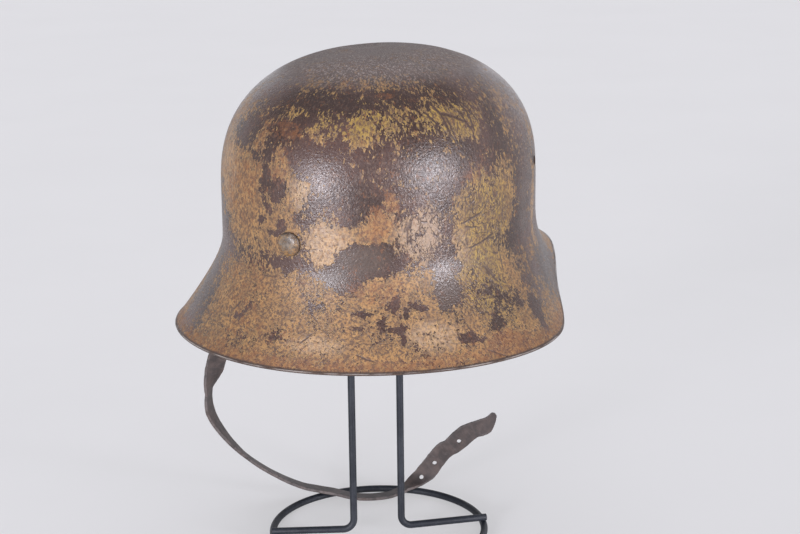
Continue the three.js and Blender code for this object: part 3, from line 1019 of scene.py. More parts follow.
# %% Build the group of ragged edges
ragged, given, put = new_group(
    "ragged_edge",
    (
        ("Place", "Vector", None),
        ("Brushed", "Vector", None),
        ("Cover", "Float", 0.5),
        ("Size", "Float", 60.0),
        ("Crisp", "Float", 0.05),
    ),
    ("Mask", "Edge"),
)
MIDDLE_SIZE = 3.4
FINE_SIZE = 11.5
FLAKE_SIZE = 23.0
middle_size = sums(ragged, "MULTIPLY", given["Size"], MIDDLE_SIZE)
fine_size = sums(ragged, "MULTIPLY", given["Size"], FINE_SIZE)
flake_size = sums(ragged, "MULTIPLY", given["Size"], FLAKE_SIZE)
broad = cloud(ragged, given["Place"], given["Size"], 3.0, 0.6)
middle = cloud(ragged, given["Place"], middle_size, 3.0, 0.62)
fine = cloud(ragged, given["Brushed"], fine_size, 3.0, 0.66)
flakes = add_node(ragged, "TexVoronoi", {"Vector": given["Brushed"], "Scale": flake_size})
flake = add_node(ragged, "SeparateColor", {0: flakes.outputs["Color"]}).outputs[0]
level = given["Cover"]
for noise_value, weight in ((broad, 1.0), (middle, 1.5), (fine, 2.2), (flake, 0.42)):
    swing = sums(ragged, "SUBTRACT", noise_value, 0.5)
    level = plus(ragged, level, swing, weight)
low = sums(ragged, "SUBTRACT", 0.5, given["Crisp"])
high = sums(ragged, "ADD", 0.5, given["Crisp"])
mask = fade(ragged, level, low, high)
within = fade(ragged, level, high, sums(ragged, "ADD", high, 0.16))
ragged.links.new(mask, put["Mask"])
ragged.links.new(sums(ragged, "MULTIPLY", mask, rest_of(ragged, within)), put["Edge"])
print("group:", ragged.name)

# %% Build the groups of scores and scratches
scores, given, put = new_group(
    "hair_scores",
    (
        ("Place", "Vector", None),
        ("Turn", "Float", 0.0),
        ("Size", "Float", 220.0),
        ("Width", "Float", 0.05),
    ),
    ("Mask",),
)
FACING = (-0.46, 0.89, 0.0)
BOW = (0.004, 0.004, 0.004)
LONG = (1.0, 1.0, 0.09)
sockets = {"Vector": given["Place"], "Axis": FACING, "Angle": given["Turn"]}
turned = add_node(scores, "VectorRotate", sockets).outputs[0]
sockets = {"Vector": given["Place"], "Scale": 40.0, "Detail": 1.0}
bowed = add_node(scores, "TexNoise", sockets).outputs["Color"]
bow = scaled(scores, bowed, BOW)
swayed = add_node(scores, "VectorMath", {0: turned, 1: bow}, operation="ADD").outputs[0]
longer = scaled(scores, swayed, LONG)
sockets = {"Vector": longer, "Scale": given["Size"]}
cells = add_node(scores, "TexVoronoi", sockets, feature="DISTANCE_TO_EDGE")
line = rest_of(scores, fade(scores, cells.outputs["Distance"], 0.0, given["Width"]))
break_size = sums(scores, "MULTIPLY", given["Size"], 0.55)
broken = fade(scores, cloud(scores, longer, break_size, 2.0), 0.46, 0.56)
scores.links.new(sums(scores, "MULTIPLY", line, broken), put["Mask"])

scratch, given, put = new_group(
    "scratch_line",
    (("Place", "Vector", None), ("Distance", "Float", 9.0), ("Width", "Float", 0.0)),
    ("Mask",),
)
SCRATCH_SWAY = 2.2
sway = sums(scratch, "SUBTRACT", cloud(scratch, given["Place"], 170.0, 3.0), 0.5)
apart = sums(scratch, "ABSOLUTE", plus(scratch, given["Distance"], sway, SCRATCH_SWAY))
reach = plus(scratch, 0.02, given["Width"], 1.2)
core = sums(scratch, "MULTIPLY", reach, 0.3)
line = rest_of(scratch, fade(scratch, apart, core, reach))
faint = fade(scratch, given["Width"], 0.05, 0.85)
scratch.links.new(sums(scratch, "MULTIPLY", line, faint), put["Mask"])
print("groups:", scores.name, scratch.name)

# %% Build the group of grain
grain, given, put = new_group(
    "fine_grain",
    (("Place", "Vector", None), ("Size", "Float", 900.0)),
    ("Height",),
)
coarse = cloud(grain, given["Place"], given["Size"], 3.0, 0.62)
pit_size = sums(grain, "MULTIPLY", given["Size"], 0.6)
pits = add_node(grain, "TexVoronoi", {"Vector": given["Place"], "Scale": pit_size})
dips = fade(grain, pits.outputs["Distance"], 0.0, 0.45)
grain.links.new(plus(grain, coarse, dips, 0.35), put["Height"])
print("group:", grain.name)


# %% Place a group in a finish
def use_group(tree, group, sockets):
    return add_node(tree, "Group", sockets, node_tree=group).outputs


print("group helper ready")

# %% [markdown]
# ## Chart of the old paint
# One deep row is painted shade, which darkens the visor.
# The shell was plum-brown first and had sand paint brushed over it, which wore off in a pattern of
# its own. Where it held, where it flaked, and where it turned pale, rusty, grey, deep, dusty, olive
# or scored is charted: each row is a soft oval on the skin, placed by azimuth and height.
# The ovals are summed for each vertex and stored, and the finish breaks them up. A sway of a few
# millimetres makes their edges wander. It has a fixed seed, because it would otherwise start from
# the clock and differ from run to run.

# %% Where the sand paint held
# azimuth in degrees, height, half width and half height in millimetres, lean in degrees
# and amount
PAINT_HELD = (
    (208, 140, 15, 12, 0, 0.38),
    (219, 140, 14, 11, 0, 0.27),
    (232, 140, 13, 13, 0, 0.48),
    (244, 137, 14, 12, 0, 0.50),
    (189, 138, 12, 11, 0, 0.36),
    (201, 135, 9, 9, 0, 0.40),
    (173, 144, 10, 6, 0, 0.30),
    (182, 157, 17, 12, 0, 0.26),
    (214, 158, 18, 9, 0, 0.28),
    (244, 154, 18, 9, 0, 0.10),
    (166, 131, 5, 9, 0, 0.50),
    (143, 137, 16, 14, 0, 0.32),
    (137, 124, 14, 26, 0, 0.30),
    (136, 150, 14, 12, 0, 0.20),
    (262, 150, 8, 9, 0, 0.22),
    (279, 144, 12, 15, 0, 0.22),
    (271, 127, 9, 17, 0, 0.26),
    (292, 118, 10, 30, 0, 0.25),
    (150, 104, 20, 22, 0, 0.72),
    (163, 102, 16, 20, 0, 0.70),
    (176, 116, 7, 11, 0, 0.62),
    (181, 102, 9, 10, 0, 0.66),
    (165, 80, 24, 20, 0, 0.72),
    (178, 82, 13, 16, 0, 0.62),
    (191.5, 73, 13, 15, 0, 0.90),
    (200, 79, 10, 5, 0, 0.60),
    (207, 81, 10, 12, 0, 0.60),
    (212, 97, 4, 7, 0, 0.45),
    (220, 77, 15, 16, 0, 0.55),
    (225, 84, 10, 12, 0, 0.20),
    (249, 80, 20, 26, 0, 0.75),
    (240, 68, 15, 12, 0, 0.55),
    (236, 84, 9, 14, 0, 0.40),
    (262, 92, 10, 22, 0, 0.55),
    (289, 70, 6, 26, 0, 0.50),
    (20, 120, 25, 25, 10, 0.45),
    (330, 100, 20, 30, 0, 0.50),
    (60, 90, 30, 25, 0, 0.55),
    (100, 110, 20, 20, 0, 0.50),
    (110, 60, 30, 15, 0, 0.30),
    (0, 60, 40, 12, 0, 0.40),
    (40, 140, 20, 15, 30, 0.40),
    (330, 150, 20, 12, 0, 0.35),
)
print("paint held:", len(PAINT_HELD), "ovals")

# %% Where it flaked away
PAINT_LOST = (
    (202, 62, 16, 9, 0, 1.00),
    (195, 51, 11, 7, 12, 0.80),
    (211, 59, 9, 7, 0, 0.50),
    (229, 43, 10, 17, 0, 0.80),
    (244, 32, 15, 12, 0, 0.26),
    (244, 20, 9, 4.5, 0, 0.48),
    (264, 18, 6, 11, 0, 1.00),
    (231.5, 16.5, 5.5, 3.6, -10, 1.20),
    (236.5, 16, 3, 2.5, 0, 1.00),
    (211.8, 38, 1.5, 5, 0, 1.00),
    (215, 34, 1.5, 6, 10, 1.00),
    (213.6, 21.5, 1.7, 6.5, -8, 1.20),
    (212, 25, 6, 1.6, 0, 1.00),
    (207.6, 27, 2, 3.2, 15, 0.80),
    (219, 36.5, 4, 1.8, 10, 1.00),
    (202, 32, 5, 1.5, 6, 0.90),
    (201, 26.5, 3, 2, 0, 0.60),
    (166, 30, 2.2, 7, 30, 0.95),
    (163, 25, 2, 3, 20, 0.80),
    (188, 36, 6, 6, 0, 0.32),
    (179, 20, 3.5, 4, 0, 0.55),
    (177, 58, 8, 4, 0, 0.32),
    (177, 81, 4, 5, 20, 1.20),
    (174, 77, 4, 2.5, 0, 1.20),
    (182, 87, 2, 3.5, 0, 1.00),
    (172, 91, 3, 5, 0, 0.90),
    (169, 82, 3, 3, 0, 0.90),
    (170, 106, 3.5, 10, 0, 0.90),
    (177, 102, 6, 5, 0, 0.95),
    (197, 100, 8, 16, 0, 0.50),
    (276, 74, 5, 18, 0, 0.60),
    # This row leaves the lower left flare plum-dark, with little sand on it.
    (138, 30, 20, 34, 0, 0.70),
    (300, 30, 26, 30, 0, 0.75),
    (250, 28, 14, 12, 0, 0.18),
    (246, 10, 14, 6, 0, 0.20),
    (270, 40, 13, 24, 0, 0.42),
    (258, 30, 5, 10, 0, 0.25),
    (282, 36, 11, 26, 0, 0.45),
    (95, 36, 10, 8, 20, 0.80),
    (70, 25, 12, 6, -10, 0.80),
    (45, 40, 8, 10, 0, 0.70),
    (15, 30, 9, 5, 0, 0.80),
    (340, 35, 10, 8, 0, 0.80),
    (112, 18, 6, 5, 0, 0.90),
    (82, 50, 16, 6, 5, 0.60),
    (60, 14, 6, 4, 0, 1.00),
    (30, 22, 5, 4, 0, 1.00),
    (318, 48, 10, 8, 0, 0.50),
)
print("paint lost:", len(PAINT_LOST), "ovals")

# %% Where it turned pale or rusty
PALE = (
    (191.5, 72, 13, 14, 0, 0.56),
    (185, 101, 7, 10, 0, 0.45),
    (222, 20, 15, 9, 0, 0.42),
    (190, 17, 16, 6, 0, 0.40),
    (220, 78, 14, 16, 0, 0.40),
    (235, 66, 10, 8, 0, 0.30),
    (289, 70, 8, 26, 0, 0.30),
    (148, 110, 14, 26, 0, 0.30),
    (86, 28, 16, 9, 0, 0.50),
    (20, 46, 14, 8, 0, 0.40),
)
RUSTY = (
    (176, 115, 8, 12, 0, 0.70),
    (160, 100, 18, 20, 0, 0.50),
    (176, 135, 11, 6, 0, 0.85),
    (166, 131, 5, 9, 0, 0.60),
    (207, 82, 9, 11, 0, 0.90),
    (212, 97, 4, 7, 0, 0.90),
    (209, 153, 4, 3, 0, 0.60),
    (242, 106, 7, 5, 0, 0.70),
    (245, 11, 16, 5, 0, 0.90),
    (206, 44, 18, 8, 0, 0.55),
    (165, 40, 22, 18, 0, 0.40),
    (172, 20, 26, 8, 0, 0.40),
    (50, 70, 30, 20, 0, 0.50),
    (350, 50, 30, 10, 0, 0.50),
)
print("pale and rusty:", len(PALE) + len(RUSTY), "ovals")

# %% Where the plum turned grey, deep or dusty, and one row of painted shade
GREY = (
    (202, 63, 16, 9, 0, 0.85),
    (193, 51, 10, 6, 10, 0.70),
    (229, 43, 11, 17, 0, 0.80),
    (276, 74, 5, 18, 0, 0.50),
    (242, 24, 14, 9, 0, 0.50),
)
DEEPER_PLUM_AND_SHADE = (
    (176, 150, 16, 12, 0, 0.90),
    (190, 150, 16, 12, 0, 0.80),
    (206, 148, 18, 12, 0, 0.80),
    (222, 146, 16, 14, 0, 0.70),
    (238, 146, 16, 14, 0, 0.60),
    (168, 138, 12, 12, 0, 0.60),
    (262, 128, 9, 22, 0, 0.80),
    (255, 112, 7, 12, 0, 0.60),
    # Painted shade: this row darkens the visor, whose grazing reflection would otherwise read too
    # light.
    (300, 30, 26, 30, 0, 0.80),
    (244, 20, 8, 6, 0, 0.50),
    (264, 18, 7, 11, 0, 0.40),
    (250, 28, 16, 14, 0, 0.40),
)
DUSTY = (
    (229, 58, 13, 10, 0, 0.30),
    (222, 78, 16, 18, 0, 0.75),
    (225, 110, 18, 15, 0, 0.40),
    (191, 100, 16, 18, 0, 0.35),
    (207, 116, 16, 14, 0, 0.15),
    (135, 135, 22, 32, 0, 0.45),
    (283, 130, 16, 34, 0, 0.45),
)
print("grey, deep and dusty:", len(GREY) + len(DEEPER_PLUM_AND_SHADE) + len(DUSTY), "ovals")

# %% Where the sand turned olive or was scored
OLIVE = (
    (208, 140, 30, 14, 0, 0.80),
    (240, 139, 26, 16, 0, 0.90),
    (189, 146, 24, 14, 0, 0.70),
    (249, 80, 24, 30, 0, 0.80),
    (242, 44, 22, 16, 0, 0.60),
    (247, 30, 16, 14, 0, 0.50),
    (100, 100, 50, 40, 0, 0.50),
)
SCORED = (
    (238, 139, 20, 16, 0, 0.60),
    (249, 80, 20, 28, 0, 1.00),
    (222, 76, 16, 16, 0, 0.80),
    (190, 50, 14, 12, 0, 0.50),
    (205, 20, 20, 8, 0, 0.50),
    (244, 34, 18, 16, 0, 0.90),
    (270, 40, 13, 20, 0, 0.50),
    (60, 90, 30, 25, 0, 0.60),
)
print("olive and scored:", len(OLIVE) + len(SCORED), "ovals")

# %% Single scratches that stand out
# azimuth and height of one end, of the other end, and width in millimetres
SCRATCHES = (
    (229, 149, 233, 142, 1.0),
    (233, 142, 235, 131, 1.0),
    (235, 131, 237, 125, 0.8),
    (233, 142, 238, 140, 1.3),
    (238, 140, 244, 136, 1.3),
    (245, 147, 247, 140, 0.9),
    (247, 140, 247, 131, 0.9),
    (242, 143, 246, 130, 0.8),
    (226, 144, 230, 137, 0.8),
    (230, 137, 229, 132, 0.7),
    (229, 132, 232, 127, 0.7),
    (210, 147, 216, 137, 0.7),
    (235, 140, 237, 128, 0.7),
    (240, 137, 238, 131, 0.6),
    (246, 147, 251, 135, 0.8),
    (214, 55, 219, 55.5, 0.6),
    (219, 55.5, 226, 56, 0.6),
    (240, 63, 246, 65, 0.7),
    (246, 65, 252, 68, 0.8),
    (256, 74, 256, 62, 0.7),
    (237, 79, 246, 83, 0.7),
    (250, 75, 252, 67, 0.6),
    (237, 9, 242, 4, 0.6),
    (228, 68, 236, 76, 0.5),
    (232, 28, 234, 18, 0.5),
    (181, 61, 183, 57, 0.6),
    (183, 57, 183, 52, 0.6),
    (184, 63, 186, 55, 0.6),
    (187, 55, 188, 46, 0.5),
    (182, 84, 187, 84, 0.5),
    (183, 88, 183, 80, 0.5),
    (186, 84, 186, 80, 0.4),
    (187, 69, 189, 70, 0.5),
    (186, 17, 189, 23, 0.6),
    (186, 12, 188, 17, 0.5),
    (188, 33, 190, 29, 0.6),
    (170, 50, 176, 51.5, 0.5),
    (161, 27, 163, 33, 0.6),
    (201, 13, 206, 9, 0.6),
    (179, 16, 180, 11, 0.5),
    (210, 150, 211, 143, 0.6),
    (241, 133, 245, 136, 0.5),
    (256, 55, 255, 44, 0.6),
    (251, 57, 254, 56, 0.6),
    (238, 76.5, 244, 74.5, 0.6),
    (232, 83, 234, 79, 0.7),
    (187, 55, 187.5, 49, 0.5),
    (246, 83, 250, 89, 0.5),
    (243, 71, 249, 70, 0.5),
    (226, 66, 232, 70, 0.5),
)
print("scratches:", len(SCRATCHES))

# %% Sum the chart on the skin
OVAL_DEPTH = 30 * MM
OVAL_SOFT = 1.5
OVAL_FRAY = 3.0 * MM
FRAY_SEED = 11
FRAY_BROAD = 95
FRAY_FINE = 240

places = np.empty(len(shell.data.vertices) * 3)
shell.data.vertices.foreach_get("co", places)
places = places.reshape(-1, 3)
from_axis = places - np.array(AXIS)
heights = from_axis[:, 2] / MM
frayed = np.empty_like(places)
noise.seed_set(FRAY_SEED)
for index, place in enumerate(places):
    sway = noise.noise_vector(Vector(place) * FRAY_BROAD)
    sway += 0.5 * noise.noise_vector(Vector(place) * FRAY_FINE)
    frayed[index] = place + OVAL_FRAY * np.array(sway)


def soft(value):
    value = np.clip(value, 0, 1)
    return value * value * (3 - 2 * value)


def ovals(rows):
    """The summed amount of all ovals of one table at each vertex."""
    total = np.zeros(len(places))
    for azimuth, height, wide, tall, lean, amount in rows:
        a = math.radians(azimuth)
        share = share_at(a, height * MM)
        offset = frayed - np.array(skin_point(a, share))
        around = np.array((math.cos(a), math.sin(a), 0))
        down = np.array(skin_down(a, share))
        out = np.array(skin_out(a, share))
        u = offset @ around
        v = offset @ down
        c = math.cos(math.radians(lean))
        s = math.sin(math.radians(lean))
        reach = np.sqrt(
            ((u * c + v * s) / (wide * MM)) ** 2
            + ((v * c - u * s) / (tall * MM)) ** 2
            + (offset @ out / OVAL_DEPTH) ** 2
        )
        total += amount * soft(OVAL_SOFT - reach)
    return total


vertex_out = np.empty(len(shell.data.vertices) * 3)
shell.data.vertices.foreach_get("normal", vertex_out)
hub = np.array((0, 0, DOME_BASE))
inner = np.sum(vertex_out.reshape(-1, 3) * (from_axis - hub), axis=1) < 0
print("vertices on the inner face:", int(inner.sum()))

# %% Store the chart
COVER_LOW = 0.10
COVER_FLARE = 0.72
COVER_LIMITS = (-0.3, 1.05)
COVER_INSIDE = -0.45
FLARE_TOP = 62
FLARE_FADE = 14
CROWN_FROM = 154
CROWN_FADE = 12
DUST_FADE = 10
RIM_RUST_TOP = 15
RIM_RUST_FADE = 9


def store(piece, name, values):
    layer = piece.data.attributes.new(name, "FLOAT", "POINT")
    layer.data.foreach_set("value", values.astype(np.float32))


def store_places(piece, name, values):
    layer = piece.data.attributes.new(name, "FLOAT_VECTOR", "POINT")
    layer.data.foreach_set("vector", values.astype(np.float32).ravel())


cover = COVER_LOW + COVER_FLARE * soft((FLARE_TOP - heights) / FLARE_FADE)
cover += ovals(PAINT_HELD) - ovals(PAINT_LOST)
cover = np.clip(cover, *COVER_LIMITS)
cover[inner] = COVER_INSIDE
crown_share = soft((heights - CROWN_FROM) / CROWN_FADE)
crown_dusty = soft((heights - CROWN_FROM) / DUST_FADE)
rim_rust = soft((RIM_RUST_TOP - heights) / RIM_RUST_FADE)
store(shell, "paint_cover", cover)
store(shell, "pale", np.clip(ovals(PALE), 0, 1))
store(shell, "rusty", np.clip(0.1 + ovals(RUSTY) + 0.75 * rim_rust, 0, 1))
store(shell, "grey", np.clip(ovals(GREY) + 0.4 * crown_share, 0, 1))
store(shell, "deep", np.clip(ovals(DEEPER_PLUM_AND_SHADE), 0, 1))
store(shell, "dusty", np.clip(0.18 + ovals(DUSTY) + 0.75 * crown_dusty, 0, 1))
store(shell, "crown", crown_share)
store(shell, "olive", np.clip(ovals(OLIVE), 0, 1))
store(shell, "scored", np.clip(0.12 + ovals(SCORED), 0, 1))
print("cover from", round(float(cover.min()), 2), "to", round(float(cover.max()), 2))

# %% Store the brushed place and the distance from the rim
RIM_PER_DEGREE = 2
BRUSH_POWER = 0.5
# height on the shell and height after the stretch, in millimetres
BRUSH_STRETCH = ((-5, -5), (55, 55), (90, 78), (175, 124))

flat_reach = np.maximum(np.hypot(from_axis[:, 0], from_axis[:, 1]), 1e-6)
spread = DOME_HALF_LENGTH * (flat_reach / DOME_HALF_LENGTH) ** BRUSH_POWER / flat_reach
brushed = from_axis * spread[:, None]
brushed[:, 2] = np.interp(heights, *zip(*BRUSH_STRETCH)) * MM
store_places(shell, "brushed", brushed)

vertex_azimuth = np.arctan2(from_axis[:, 0], -from_axis[:, 1])
rim_steps = np.linspace(0, 2 * math.pi, 360 * RIM_PER_DEGREE + 1)
nearest = np.round(np.degrees(vertex_azimuth) % 360 * RIM_PER_DEGREE).astype(int)
rim_line = np.array([skin_point(a, 3.0) for a in rim_steps])
rim_down = np.array([skin_down(a, 3.0) for a in rim_steps])
up_from_rim = -np.sum((places - rim_line[nearest]) * rim_down[nearest], axis=1)
store(shell, "from_rim", np.maximum(up_from_rim, 0) / MM)
print("brushed places stored for", len(places), "vertices")

# %% Lay the scratches on the skin
# A straight line's distance grows evenly to both sides, so a few coarse vertices hold it
# exactly. Scratches that lie too close to share one layer of distances go into another one.
BAND = 4.5
SKIN_DEPTH = 6
FAR_AWAY = 9.0
END_OVERRUN = 2.5
END_TAPER = 4
SIDE_TAPER = 1.5
layers = []

for azimuth_a, height_a, azimuth_b, height_b, width in SCRATCHES:
    ends = []
    for azimuth, height in ((azimuth_a, height_a), (azimuth_b, height_b)):
        a = math.radians(azimuth)
        ends.append(skin_point(a, share_at(a, height * MM)))
    a = math.radians((azimuth_a + azimuth_b) / 2)
    out = skin_out(a, share_at(a, (height_a + height_b) / 2 * MM))
    along = (ends[1] - ends[0]).normalized()
    offset = (places - np.array(ends[0])) / MM
    run = offset @ np.array(along)
    apart = offset @ np.array(out.cross(along).normalized())
    length = (ends[1] - ends[0]).length / MM
    near = (np.abs(apart) < BAND) & (run > -BAND) & (run < length + BAND)
    near &= np.abs(offset @ np.array(out)) < SKIN_DEPTH
    near &= ~inner
    free = [layer for layer in layers if not np.any(layer["taken"] & near)]
    if not free:
        count = len(places)
        blank = {"taken": np.zeros(count, bool)}
        blank["distance"] = np.full(count, FAR_AWAY)
        blank["width"] = np.zeros(count)
        layers.append(blank)
        free = [blank]
    taper = soft((run + END_OVERRUN) / END_TAPER)
    taper *= soft((length + END_OVERRUN - run) / END_TAPER)
    taper *= soft((BAND - np.abs(apart)) / SIDE_TAPER)
    free[0]["taken"] |= near
    free[0]["distance"][near] = apart[near]
    free[0]["width"][near] = (width * taper)[near]
for index, layer in enumerate(layers):
    store(shell, "scratch_distance_" + str(index), layer["distance"])
    store(shell, "scratch_width_" + str(index), layer["width"])
print("scratches laid in", len(layers), "layers")

# %% [markdown]
# ## Finish of the shell
# Three coats lie on each other: smooth plum-brown, the sand paint that broke up, and the rust that
# stains both. Each coat is a colour made from noise, and masks decide which one shows. The same
# masks drive the shine, because bare plum is glossier than chalky sand, and a bump a few hundredths
# of a millimetre high, as flakes really stand.
# Some colour is painted light: shade and a glint along the rim, a sheen on the crown, and highlights
# at flake edges.

# %% Colours of the shell
PLUM_DEEP = (0.028, 0.015, 0.012, 1)
PLUM = (0.057, 0.032, 0.027, 1)
PLUM_DUST = (0.210, 0.148, 0.112, 1)
STEEL_GREY = (0.064, 0.046, 0.038, 1)
SAND_DEEP = (0.074, 0.037, 0.018, 1)
SAND = (0.270, 0.145, 0.046, 1)
SAND_OLIVE = (0.255, 0.165, 0.026, 1)
SAND_PALE = (0.410, 0.292, 0.190, 1)
# Painted highlight along the edges of the sand flakes.
SAND_EDGE_HIGHLIGHT = (0.350, 0.235, 0.085, 1)
PIT_DARK = (0.055, 0.034, 0.026, 1)
RUST = (0.180, 0.070, 0.023, 1)
RUST_DEEP = (0.110, 0.045, 0.025, 1)
# Light grey on the crown: partly real dust, partly a painted sheen.
CROWN_DUST_AND_SHEEN = (0.300, 0.265, 0.250, 1)
SAND_DUST = (0.235, 0.180, 0.145, 1)
RIVET_BARE = (0.058, 0.044, 0.034, 1)
RIVET_RUBBED = (0.150, 0.120, 0.092, 1)
# Painted shade, for the dark bands along the shell's rim and round each rivet head.
PAINTED_SHADE_DARK = (0.030, 0.021, 0.019, 1)
# Worn bare steel, light enough to be a painted glint along the rim's lip as well.
RIM_STEEL_AND_GLINT = (0.300, 0.270, 0.250, 1)


# turn in radians, size and width of each set of hair scores
SCORE_SETS = ((0.25, 230.0, 0.05), (-0.55, 280.0, 0.05), (0.85, 250.0, 0.045))
SHELL_BREAK = 46.0


def painted_steel(name, size):
    """The coats of sand over plum. size scales the break-up of the paint."""
    material, tree, surface = new_material(name)
    place = add_node(tree, "TexCoord").outputs["Object"]
    brush = add_node(tree, "Attribute", attribute_name="brushed").outputs["Vector"]
    cover = attribute(tree, "paint_cover")
    sockets = {"Place": place, "Brushed": brush, "Cover": cover, "Size": size, "Crisp": 0.05}
    paint = use_group(tree, ragged, sockets)
    marks = 0.0
    for turn, mark_size, width in SCORE_SETS:
        sockets = {"Place": place, "Turn": turn, "Size": mark_size, "Width": width}
        marks = sums(tree, "MAXIMUM", marks, use_group(tree, scores, sockets)["Mask"])
    marks = sums(tree, "MULTIPLY", marks, attribute(tree, "scored"))
    return material, tree, surface, place, brush, paint, marks


finish = painted_steel("worn_sand_over_plum", SHELL_BREAK)
shell_paint, tree, surface, place, brush, paint, marks = finish
print("finish:", shell_paint.name)

# %% Draw the scratches
for index in range(len(layers)):
    sockets = {
        "Place": place,
        "Distance": attribute(tree, "scratch_distance_" + str(index)),
        "Width": attribute(tree, "scratch_width_" + str(index)),
    }
    marks = sums(tree, "MAXIMUM", marks, use_group(tree, scratch, sockets)["Mask"])
held = sums(tree, "MULTIPLY", paint["Mask"], rest_of(tree, marks))
print("scratches drawn from", len(layers), "layers")

# %% Coat of plum
plum = tint(tree, fade(tree, cloud(tree, place, 30.0, 6.0), 0.35, 0.65), PLUM_DEEP, PLUM)
plum = tint(tree, attribute(tree, "grey"), plum, STEEL_GREY)
plum = tint(tree, attribute(tree, "deep"), plum, PLUM_DEEP)
dust = fade(tree, cloud(tree, brush, 720.0, 3.0, 0.65), 0.50, 0.66)
dusty = attribute(tree, "dusty")
dust_share = sums(tree, "MULTIPLY", dust, sums(tree, "MULTIPLY", dusty, 0.85))
plum = tint(tree, dust_share, plum, PLUM_DUST)
# Lighter grey over the crown: partly real dust, partly a painted sheen for the grazing shine that the
# rough crown loses.
crown = attribute(tree, "crown")
crown_dust_and_sheen = plus(tree, 0.22, dust, 0.6)
plum = tint(tree, sums(tree, "MULTIPLY", crown_dust_and_sheen, crown), plum, CROWN_DUST_AND_SHEEN)
print("coat of plum")

# %% Coat of sand
sand = tint(tree, attribute(tree, "olive"), SAND, SAND_OLIVE)
mottle = fade(tree, cloud(tree, brush, 640.0, 3.0, 0.7), 0.43, 0.55)
smudge = fade(tree, cloud(tree, place, 110.0, 4.0, 0.6), 0.34, 0.62)
mottle = sums(tree, "MULTIPLY", mottle, plus(tree, 0.50, smudge, 0.50))
sand = tint(tree, mottle, SAND_DEEP, sand)
pale_break = fade(tree, cloud(tree, place, 420.0, 3.0, 0.7), 0.28, 0.58)
pale = sums(tree, "MULTIPLY", attribute(tree, "pale"), pale_break)
sand = tint(tree, pale, sand, SAND_PALE)
# Painted highlight: a light band along the edges of the sand flakes.
sand = tint(tree, sums(tree, "MULTIPLY", paint["Edge"], 0.4), sand, SAND_EDGE_HIGHLIGHT)
sand = tint(tree, sums(tree, "MULTIPLY", dusty, 0.55), sand, SAND_DUST)
spots = add_node(tree, "TexVoronoi", {"Vector": place, "Scale": 330.0})
spot_draw = add_node(tree, "SeparateColor", {0: spots.outputs["Color"]}).outputs[1]
chosen = fade(tree, spot_draw, 0.45, 0.5)
pitted = rest_of(tree, fade(tree, spots.outputs["Distance"], 0.12, 0.26))
pitted = sums(tree, "MULTIPLY", pitted, chosen)
sand = tint(tree, sums(tree, "MULTIPLY", pitted, 0.75), sand, PIT_DARK)
colour = tint(tree, held, plum, sand)
print("coat of sand")

# %% Rust and rim of the shell
rust_cover = sums(tree, "MULTIPLY", attribute(tree, "rusty"), 0.75)
sockets = {"Place": place, "Brushed": brush, "Cover": rust_cover, "Size": 70.0, "Crisp": 0.28}
rust = use_group(tree, ragged, sockets)["Mask"]
rust_cloud = fade(tree, cloud(tree, place, 210.0, 6.0, 0.65), 0.4, 0.6)
rust_colour = tint(tree, rust_cloud, RUST_DEEP, RUST)
colour = tint(tree, sums(tree, "MULTIPLY", rust, 0.55), colour, rust_colour)
colour = tint(tree, sums(tree, "MULTIPLY", marks, 0.68), colour, PIT_DARK)
from_rim = attribute(tree, "from_rim")
# Painted shade: a dark band along the lowest 2.6 mm of the shell, for the shadow of the crease above
# the lip and under the edge.
rim_shade = rest_of(tree, fade(tree, from_rim, 1.5, 2.6))
# Over it, a patchy light band from 0.25 to about 1 mm up is worn bare steel and also a painted glint
# on the lip.
rim_low = fade(tree, from_rim, 0.25, 0.5)
rim_high = fade(tree, from_rim, 1.15, 0.8)
rim_cloud = fade(tree, cloud(tree, place, 60.0, 4.0), 0.36, 0.6)
rim_wear_and_glint = sums(tree, "MULTIPLY", sums(tree, "MULTIPLY", rim_low, rim_high), rim_cloud)
colour = tint(tree, sums(tree, "MULTIPLY", rim_shade, 0.85), colour, PAINTED_SHADE_DARK)
colour = tint(tree, sums(tree, "MULTIPLY", rim_wear_and_glint, 0.8), colour, RIM_STEEL_AND_GLINT)
tree.links.new(colour, surface.inputs["Base Color"])
print("rust and rim")

# %% Shine and relief of the shell
BARE_DULL = 0.26
PAINT_DULL = 0.18
RUST_DULL = 0.12
SPECKLE_DULL = 0.5
CROWN_DULL = 0.40
CLOUD_DULL = 0.12
SHELL_SHINE = 0.48
GRAIN_RELIEF = 0.24 * MM
PAINT_RELIEF = 0.07 * MM
MARK_DEPTH = 0.06 * MM
WAVE_RELIEF = 0.10 * MM

speckle = sums(tree, "SUBTRACT", cloud(tree, brush, 980.0, 2.0, 0.6), 0.5)
dull = plus(tree, BARE_DULL, held, PAINT_DULL)
dull = plus(tree, dull, rust, RUST_DULL)
dull = plus(tree, dull, speckle, SPECKLE_DULL)
dull = plus(tree, dull, crown, CROWN_DULL)
dull = plus(tree, dull, cloud(tree, place, 90.0, 6.0), CLOUD_DULL)
tree.links.new(dull, surface.inputs["Roughness"])
surface.inputs["Specular IOR Level"].default_value = SHELL_SHINE
skin = use_group(tree, grain, {"Place": place, "Size": 820.0})["Height"]
relief = sums(tree, "MULTIPLY", skin, GRAIN_RELIEF)
relief = plus(tree, relief, held, PAINT_RELIEF)
relief = sums(tree, "SUBTRACT", relief, sums(tree, "MULTIPLY", marks, MARK_DEPTH))
relief = plus(tree, relief, cloud(tree, place, 130.0, 4.0), WAVE_RELIEF)
raise_relief(tree, surface, relief)
dress(shell, shell_paint)
print("shell finish:", len(tree.nodes), "nodes")

